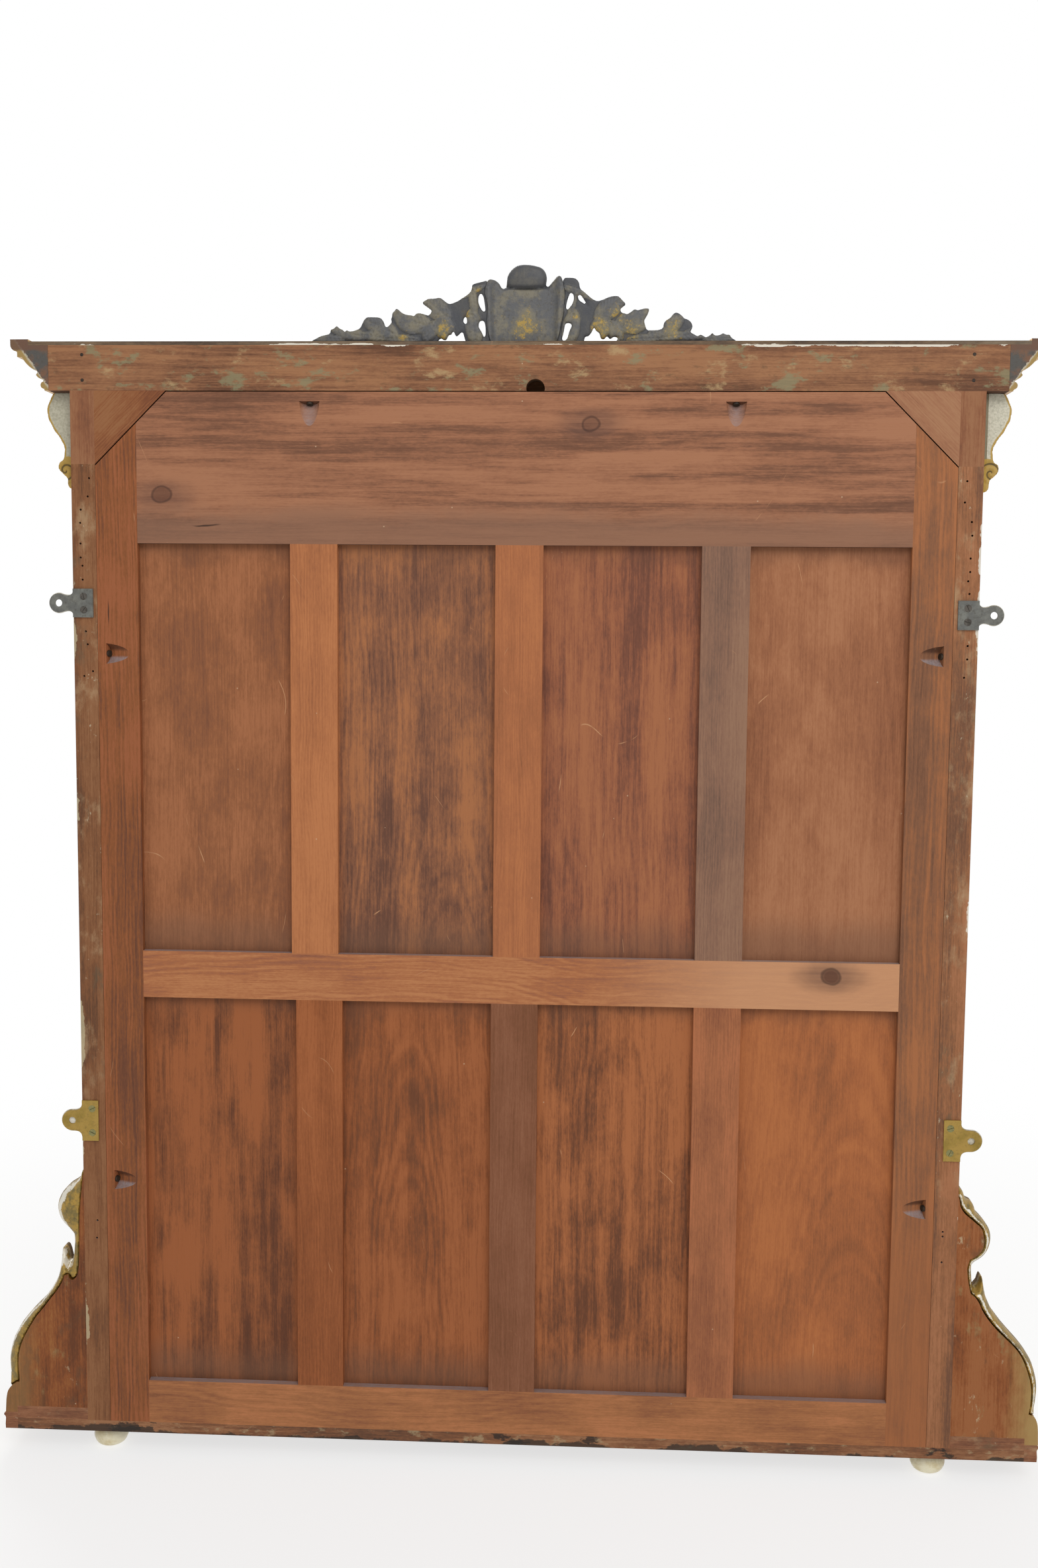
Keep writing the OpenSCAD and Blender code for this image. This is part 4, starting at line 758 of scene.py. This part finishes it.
def leaf_heights(out, up, berries):
    best = np.full(len(out), 0.12)
    for order, (u, v, angle, long, wide) in enumerate(leaves):
        turn = math.radians(angle)
        along = ((out - u) * math.cos(turn) + (up - v) * math.sin(turn)) / long
        across = (up - v) * math.cos(turn) - (out - u) * math.sin(turn)
        half = wide / 2 * np.sin(math.pi * np.clip(along, 0.001, 0.999)) ** 0.55
        dome = ball((across / half) ** 2)
        veins = 0.10 * np.cos(2 * math.pi * (along * long - 0.9 * np.abs(across)) / 5.0)
        height = (0.42 + 0.05 * (order % 3) + 0.4 * np.sin(math.pi * along)) * dome ** 0.6
        height += veins * dome - 0.22 * bell(across / 0.9)
        best = np.maximum(best, np.where((along > 0) & (along < 1) & (dome > 0), height, 0))
    for u, v, radius in berries:
        dome = ball(((out - u) ** 2 + (up - v) ** 2) / radius ** 2)
        best = np.maximum(best, np.where(dome > 0, 0.45 + 0.55 * dome, 0))
    return np.clip(best, 0, 1)


for side, sign in (("right", 1), ("left", -1)):
    node = "crest_garland_" + side
    garland, co, low, high, share = skin_of(node, "carved_garland_" + side, 0.0011)
    edge = distance_to(free_pieces(node, "crest_shield"), co[:, [0, 2]])
    out, up = sign * co[:, 0] * 1000, (co[:, 2] - low.z) * 1000
    rise, hidden = leaf_heights(out, up, berries), leaf_heights(out, up, [])
    ahead = 0.0030 * (1 - rise) + rolled(edge, 0.0025, 0.0012)
    behind = 0.0030 * (1 - ease(hidden / 0.85)) + rolled(edge, 0.0035, 0.0018)
    move_sides(garland, co, low.y + ahead, high.y - behind, share, 1)
    store(garland, "rise", rise)
    rubbed = sum(np.exp(-((out - u) ** 2 + (up - v) ** 2) / r ** 2) for u, v, r in rubs[side])
    store(garland, "gold", 0.9 * rubbed + 0.12)
    # Low places between the leaves on the back get painted shade.
    store(garland, "dark", 1.1 - ease(hidden / 0.55))
    finish_piece(garland, crest_front, node)
    dress_back(garland, bronze, share, 0.03)

# %% [markdown]
# ## Consoles
# A side console's two flat cheeks keep their white ground, and gilded leafwork wraps over
# the curved face and laps a few millimetres onto them. Here the points move along their
# own normals, by a depth that depends on the place along and across the leaf.

# %% Carve the consoles
# The last mark of the cheeks is a painted shade in the grooves of the knob's spiral.
cheek_look = dict(
    marks=[("band", "#72684f", 0.4, 0.6, 0.5), ("rim", "#aa8835", 0.42, 0.60, 0.8),
           ("rim", "#5c4a20", 1.1, 1.5, 2.4), ("groove", "#4f3f1e", 0.35, 0.8, 0.4)],
    grit=0.0006, grime=0.25)
cheeks = {
    "right": coat("grey-white ground on a console", "#b3ae9a", "#a39e8a", 0.40, 0.62, 3, 18.2, **cheek_look),
    "left": coat("white ground on a console", "#c9c4b1", "#b4b09c", 0.40, 0.62, 3, 18.9, **cheek_look)}
console_gold = gilding("carved gilding, consoles", 19.5)
lobe_pitch, leaf_cut, knob_top = 13.5, 0.0020, 36


def carve_console(node, way, backs):
    """The flat cheeks face along axis `way`: 1 for a side console and 0 for a front one."""
    piece, co, low, high = skin_of(node, "carved_" + node, 0.0012)[:4]
    middle, half = (low[way] + high[way]) / 2, (high[way] - low[way]) / 2
    outline = outline_of(node, way)
    inner = (low.x if node.endswith("right") else high.x) if way == 1 else high.y
    off_wall = (np.abs(outline[:, :, 0] - inner) > 0.0004).any(axis=1)
    off_top = (outline[:, :, 1] < high.z - 0.0003).any(axis=1)
    edge = distance_to(outline[off_wall & off_top], co[:, flat_ways(way)])
    normals = np.array([v.normal for v in piece.data.vertices])
    across = np.abs(co[:, way] - middle) / half
    up = (co[:, 2] - low.z) * 1000
    lobes = 0.5 + 0.5 * np.cos(2 * math.pi * (up + 9 * across) / lobe_pitch)
    rise = np.clip(0.25 + 0.75 * lobes ** 0.7 - 0.4 * bell(across / 0.09), 0, 1)
    on_curve = (1 - ease(edge / 0.003)) * (np.abs(normals[:, way]) < 0.75)
    co -= normals * (leaf_cut * (1 - rise) * on_curve)[:, None]
    outward = 1 if way == 1 and node.endswith("right") else -1
    curl_at = (inner + 0.013 * outward, low.z + 0.024)
    curl, zone = spiral(co[:, flat_ways(way)], curl_at, 0.016, 0.009, outward)
    inwards = rolled(edge, 0.0035, 0.0032) + 0.0022 * zone * (1 - curl)
    co[:, way] += np.sign(middle - co[:, way]) * inwards * (across > 0.5)
    set_points(piece, co)
    apply_new(piece, "SMOOTH", factor=0.5, iterations=1)
    store(piece, "rise", rise)
    store(piece, "rim", np.maximum(1 - ease(edge / 0.0068), 1 - ease((up - knob_top) / 10)))
    # The grooves between the turns of the knob's spiral get a painted shade.
    store(piece, "groove", zone * (1 - curl) ** 2)
    store(piece, "band", (1 - ease((np.abs(co[:, 0]) - 0.556) / 0.002)) * (node == "console_side_left"))
    finish_piece(piece, console_gold, node)
    dress_part(piece, backs, lambda face: abs(face.normal[way]) > 0.6)
    return piece


for side in ("left", "right"):
    carve_console("console_side_" + side, 1, cheeks[side])
    carve_console("console_front_" + side, 0, console_gold)

# %% [markdown]
# ## Mouldings with carved rows
# The cornice and the moulding round the glass are long bars with rows of beads, leaf tips
# and scallops. Each is made from a grid: one way of it is wrapped round the bar's section
# and the other runs between the mitres. Then the points of a carved row are pushed in.

# %% Section of a bar
def section_from(corners, step=1.3):
    """Points along a closed section in millimetres, a step apart but for its long flat runs."""
    points = []
    for (u1, v1), (u2, v2) in zip(corners, corners[1:] + corners[:1]):
        run = math.hypot(u2 - u1, v2 - v1)
        count = int(math.ceil(run / step)) if 0 < run < 12 else int(run > 0)
        points += [(u1 + (u2 - u1) * k / count, v1 + (v2 - v1) * k / count) for k in range(count)]
    return np.array(points)


def arc(u, v, radius, start, stop, count=8):
    turns = [math.radians(start + (stop - start) * k / count) for k in range(count + 1)]
    return [(u + radius * math.cos(t), v + radius * math.sin(t)) for t in turns]


def curve(points, count=4):
    """A smooth line through the points, the same one that the CAD section follows."""
    ends = [points[0]] + points + [points[-1]]
    line = []
    for a, b, c, d in zip(ends, ends[1:], ends[2:], ends[3:]):
        for t in [k / count for k in range(count)]:
            line.append(tuple(0.5 * (2 * q + (r - p) * t + (2 * p - 5 * q + 4 * r - w) * t * t
                                     + (3 * q - p - 3 * r + w) * t ** 3) for p, q, r, w in zip(a, b, c, d)))
    return line + [points[-1]]


def row(along, pitch, power=0.5):
    """Depth of the cuts of a carved row, from 0 on a knob's top to 1 between two knobs."""
    place = (along / pitch) % 1.0 * 2 - 1
    return 1 - (1 - place ** 2) ** power


print("a bead row is cut to", float(row(np.array([0.0]), 9)[0]), "of its depth between beads")

# %% A bar from a grid
def bar(name, section, steps, place, cuts):
    """place(section, t) gives points; cuts(section, along) how deep each is cut, in metres."""
    rings = len(section)
    bpy.ops.object.select_all(action="DESELECT")
    bpy.ops.mesh.primitive_grid_add(x_subdivisions=rings, y_subdivisions=steps, size=1)
    piece = bpy.context.object
    piece.name = name
    co = points_of(piece)
    ring = np.rint((co[:, 0] + 0.5) * rings).astype(int) % rings
    t = co[:, 1] + 0.5
    tangent = np.roll(section, -1, axis=0) - np.roll(section, 1, axis=0)
    normal = np.stack([tangent[:, 1], -tangent[:, 0]], axis=1) / np.linalg.norm(tangent, axis=1)[:, None]
    flat, out = section[ring], normal[ring]
    depth = cuts(flat, place(flat, t)[1])
    set_points(piece, place(flat - out * depth[:, None] * 1000, t)[0])
    store(piece, "rise", np.where(depth > 0, 1 - depth / 0.0030, 0.8))
    store(piece, "end", t)
    select_only(piece)
    bpy.ops.object.mode_set(mode="EDIT")
    bpy.ops.mesh.select_all(action="SELECT")
    bpy.ops.mesh.select_mode(type="VERT")
    bpy.ops.mesh.remove_doubles(threshold=0.00002)
    for end in (0.0, 1.0):
        bpy.ops.mesh.select_all(action="DESELECT")
        bpy.ops.object.mode_set(mode="OBJECT")
        for vertex, where in zip(piece.data.vertices, piece.data.attributes["end"].data):
            vertex.select = abs(where.value - end) < 1e-5
        bpy.ops.object.mode_set(mode="EDIT")
        bpy.ops.mesh.edge_face_add()
    bpy.ops.mesh.select_all(action="SELECT")
    bpy.ops.mesh.normals_make_consistent(inside=False)
    bpy.ops.object.mode_set(mode="OBJECT")
    return piece


def mm(metres):
    return round(metres * 1000, 1)


board_low, board_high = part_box("cornice_back_board")
post_out, face_front = mm(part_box("post_right")[1].x), mm(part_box("face_top_rail")[0].y)
cornice_foot, cornice_back = mm(board_low.z), mm(board_high.y)
print("the cornice starts", post_out, "mm out and", cornice_foot, "mm up")

# %% Cornice with its returns
cornice_section = section_from(
    [(0, 0), (31, 0)] + arc(31.5, 6.5, 4.5, -90, 90) + [(32.5, 11), (32.5, 13.5)]
    + arc(32.5, 23.5, 10, -80, 0) + curve([(43, 24.5), (48.5, 28), (54.5, 34), (58, 40)])
    + [(64, 40), (64, 46.5)] + arc(64.5, 54.5, 8, -80, 0) + [(72.5, 61), (50.5, 61), (50.5, 54), (0, 54)])


def cornice_cuts(flat, along):
    u, v = flat.T
    beads = 0.0028 * row(along, 9.1) * (u > 31.2) * (v < 11.5)
    up, aside = np.clip((v - 13.6) / 9.6, 0, 1), np.abs((along / 15.2) % 1.0 * 2 - 1)
    leaf_gap = ease((aside - (1 - up ** 1.6) - 0.02) / 0.25)
    vein = 0.4 * bell(aside / 0.13) * (up < 0.85)
    tips = 0.0028 * np.maximum(leaf_gap, vein) * ease(up * 8) * (u > 33) * (u < 44) * (v < 24)
    scallops = 0.0030 * row(along, 18.2) * (u > 64.2) * np.clip((62.5 - v) / 3, 0.4, 1)
    return beads + tips + scallops


def cornice_front(flat, t):
    u, v = flat.T
    x = (2 * t - 1) * (post_out + u)
    return np.stack([x, face_front - u, cornice_foot + v], axis=1) / 1000, x


def cornice_return(side):
    """A return keeps clear of the back board's end by a joint's play of 0.2 mm."""
    board_front, board_top = mm(board_low.y) - 0.1, mm(board_high.z) - cornice_foot + 0.2
    board_end = mm(board_high.x) - post_out + 0.2

    def place(flat, t):
        u, v = flat.T
        y = face_front - u + t * (cornice_back - face_front + u)
        u = np.where((y > board_front) & (v < board_top), np.maximum(u, board_end), u)
        return np.stack([side * (post_out + u), y, cornice_foot + v], axis=1) / 1000, y + 6.0
    return place


moulding_gold = gilding("carved gilding, mouldings", 22.5)
rim_line = (1, 0, -0.72)
# The back ends of the returns are dark grey with brown patches, a pale line, a gold band and a brown band.
end_grain = coat("dark grey end of a cornice return", "#4f4c48", "#6e503d", 0.42, 0.60, 20, 24.6, rough=0.7,
                 marks=[(rim_line, "#b9b09a", -0.3992, -0.3984, 0.014),
                        (rim_line, "#94773c", -0.3985, -0.3955, 0.006),
                        ((0, 0, 1), "#64493a", 1.3950, 1.3985, 0.006)])
piece = bar("carved_cornice_front", cornice_section, 830, cornice_front, cornice_cuts)
finish_piece(piece, moulding_gold, "cornice_front_moulding", smooth_angle=45)
for side, name in ((1, "right"), (-1, "left")):
    piece = bar("carved_cornice_return_" + name, cornice_section, 96, cornice_return(side), cornice_cuts)
    finish_piece(piece, moulding_gold, "cornice_return_" + name, smooth_angle=45)
    dress_part(piece, end_grain, lambda face: face.normal.y > 0.9)

# %% Moulding round the glass
glass_section = section_from(
    [(-5, -22), (0, -22), (0, 0), (20, 0), (20, 4)]
    + curve([(19.5, 5), (18.5, 11), (14.5, 16), (10, 14), (7, 10)])
    + curve([(4, 8), (1.5, 4), (-2, 1)]) + [(-2, -1), (-5, -2)])
sight_x, sight_low = mm(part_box("face_top_rail")[1].x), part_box("face_bottom_rail")[1].z * 1000
sight_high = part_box("face_top_rail")[0].z * 1000
print("sight edge", 2 * sight_x, "by", round(sight_high - sight_low, 1), "mm")


def glass_cuts(flat, along):
    u, v = flat.T
    pearls = 0.0026 * row(along, 10.4) * (u < 5) * (v > 0.2)
    ribbon = 0.0022 * row(along + 0.9 * u + 0.9 * v, 17.0, 0.35) * (u > 8) * (v > 6.5)
    return pearls + ribbon


def glass_bar(kind):
    level = kind in ("top", "bottom")
    middle, half = (sight_low + sight_high) / 2, (sight_high - sight_low) / 2

    def place(flat, t):
        u, v = flat.T
        long = (2 * t - 1) * ((sight_x if level else half) + u)
        out = dict(top=sight_high + u, bottom=sight_low - u, right=sight_x + u, left=-sight_x - u)[kind]
        x, z = (long, out) if level else (out, middle + long)
        return np.stack([x, face_front - v, z], axis=1) / 1000, np.abs(long)
    return place


for kind, steps in (("top", 520), ("bottom", 520), ("left", 620), ("right", 620)):
    piece = bar("carved_moulding_" + kind, glass_section, steps, glass_bar(kind), glass_cuts)
    finish_piece(piece, moulding_gold, "frame_moulding_" + kind, smooth_angle=45)

# %% [markdown]
# ## Glass
# The bevelled plate is a box whose front face is inset and moved forward. The silver is
# seen through the glass, so the recipe is a polished metal, with the grey freckles that
# old silvering gets along its edges.

# %% Bevelled plate
bevel_deep, bevel_wide = 0.0024, 0.042
low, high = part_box("mirror_glass")
bpy.ops.object.select_all(action="DESELECT")
bpy.ops.mesh.primitive_cube_add(size=1, location=(0, 0, 0))
plate = bpy.context.object
plate.name = "bevelled_plate"
start = np.array(low) + (0, bevel_deep, 0)
set_points(plate, start + (points_of(plate) + 0.5) * (np.array(high) - start))
bpy.ops.object.mode_set(mode="EDIT")
bpy.ops.mesh.select_mode(type="FACE")
bpy.ops.mesh.select_all(action="DESELECT")
bpy.ops.object.mode_set(mode="OBJECT")
for face in plate.data.polygons:
    face.select = face.normal.y < -0.9
bpy.ops.object.mode_set(mode="EDIT")
bpy.ops.mesh.inset(thickness=bevel_wide)
bpy.ops.transform.translate(value=(0, -bevel_deep, 0))
bpy.ops.object.mode_set(mode="OBJECT")

seen_half_x, seen_half_z, seen_middle_z = 0.491, 0.592, 0.692
silver, add, where = start_material("silvered plate glass, old")
split = add("SeparateXYZ", where).outputs
side = add("Math", add("Math", split["X"], **unsigned), seen_half_x, **over)
up = add("Math", add("Math", split["Z"], seen_middle_z, **less), **unsigned)
edge = add("Math", side, add("Math", up, seen_half_z, **over), **larger)
near = add("MapRange", edge, 0.95, 1.0, 0.0, 0.15)
freckle = add("Math", blotches(add, where, 7, 7, 31.0, 3.0, 0.6), near)
freckle = add("MapRange", freckle, 0.71, 0.76, 0.0, 0.8, **soft)
colour = add("Mix", freckle, "#dde3e1", "#6e675c", **paint)
rough = add("MapRange", freckle, 0.0, 0.8, 0.03, 0.5)
add("OutputMaterial", add("BsdfPrincipled", colour, 1.0, rough))
finish_piece(plate, silver, "mirror_glass", smooth_angle=1)

# %% [markdown]
# ## Light and floor
# A white surround gives more than half of the soft light, and a wide lamp on each side of
# the mirror gives the rest, so both faces are lit the same. The floor keeps the shadow of
# the feet, and fades to the white of the surround far away.

# %% Surround and lamps
world = bpy.data.worlds.new("white studio")
bpy.context.scene.world = world
world.use_nodes = True
add = adder(world.node_tree)
path = add("LightPath").outputs
seen = add("Math", path["Is Camera Ray"], path["Is Glossy Ray"], **larger)
seen = add("Math", seen, path["Is Transmission Ray"], **larger)
strength = add("MapRange", seen, 0.0, 1.0, 0.55, 1.0)
add("OutputWorld", add("Background", "#ffffff", strength))
lamp_watts, lamp_width, lit_middle = 58, 2.2, Vector((0, 0, 0.75))
for name, place in (("lamp behind", (-0.9, 2.9, 3.1)), ("lamp in front", (0.9, -2.9, 3.1))):
    lamp = bpy.data.objects.new(name, bpy.data.lights.new(name, "AREA"))
    bpy.context.scene.collection.objects.link(lamp)
    lamp.data.shape = "DISK"
    lamp.data.size = lamp_width
    lamp.data.energy = lamp_watts
    lamp.location = place
    lamp.rotation_euler = (lit_middle - Vector(place)).to_track_quat("-Z", "Y").to_euler()

# %% Floor
shadow_within, white_beyond = 0.7, 2.0
bpy.ops.mesh.primitive_plane_add(size=40, location=(0, 0, 0))
floor = bpy.context.object
floor.name = "floor"
material, add, where = start_material("pale floor")
plain = add("BsdfPrincipled", "#f4f3f1", Roughness=0.8)
far = add("VectorMath", where, **length)
faded = add("MapRange", far, shadow_within, white_beyond, 0.7, 1.0, **soft)
add("OutputMaterial", add("MixShader", faded, plain, add("Emission", "#ffffff", 1.0)))
dress(material, floor)
print("the floor turns white", white_beyond, "m away")
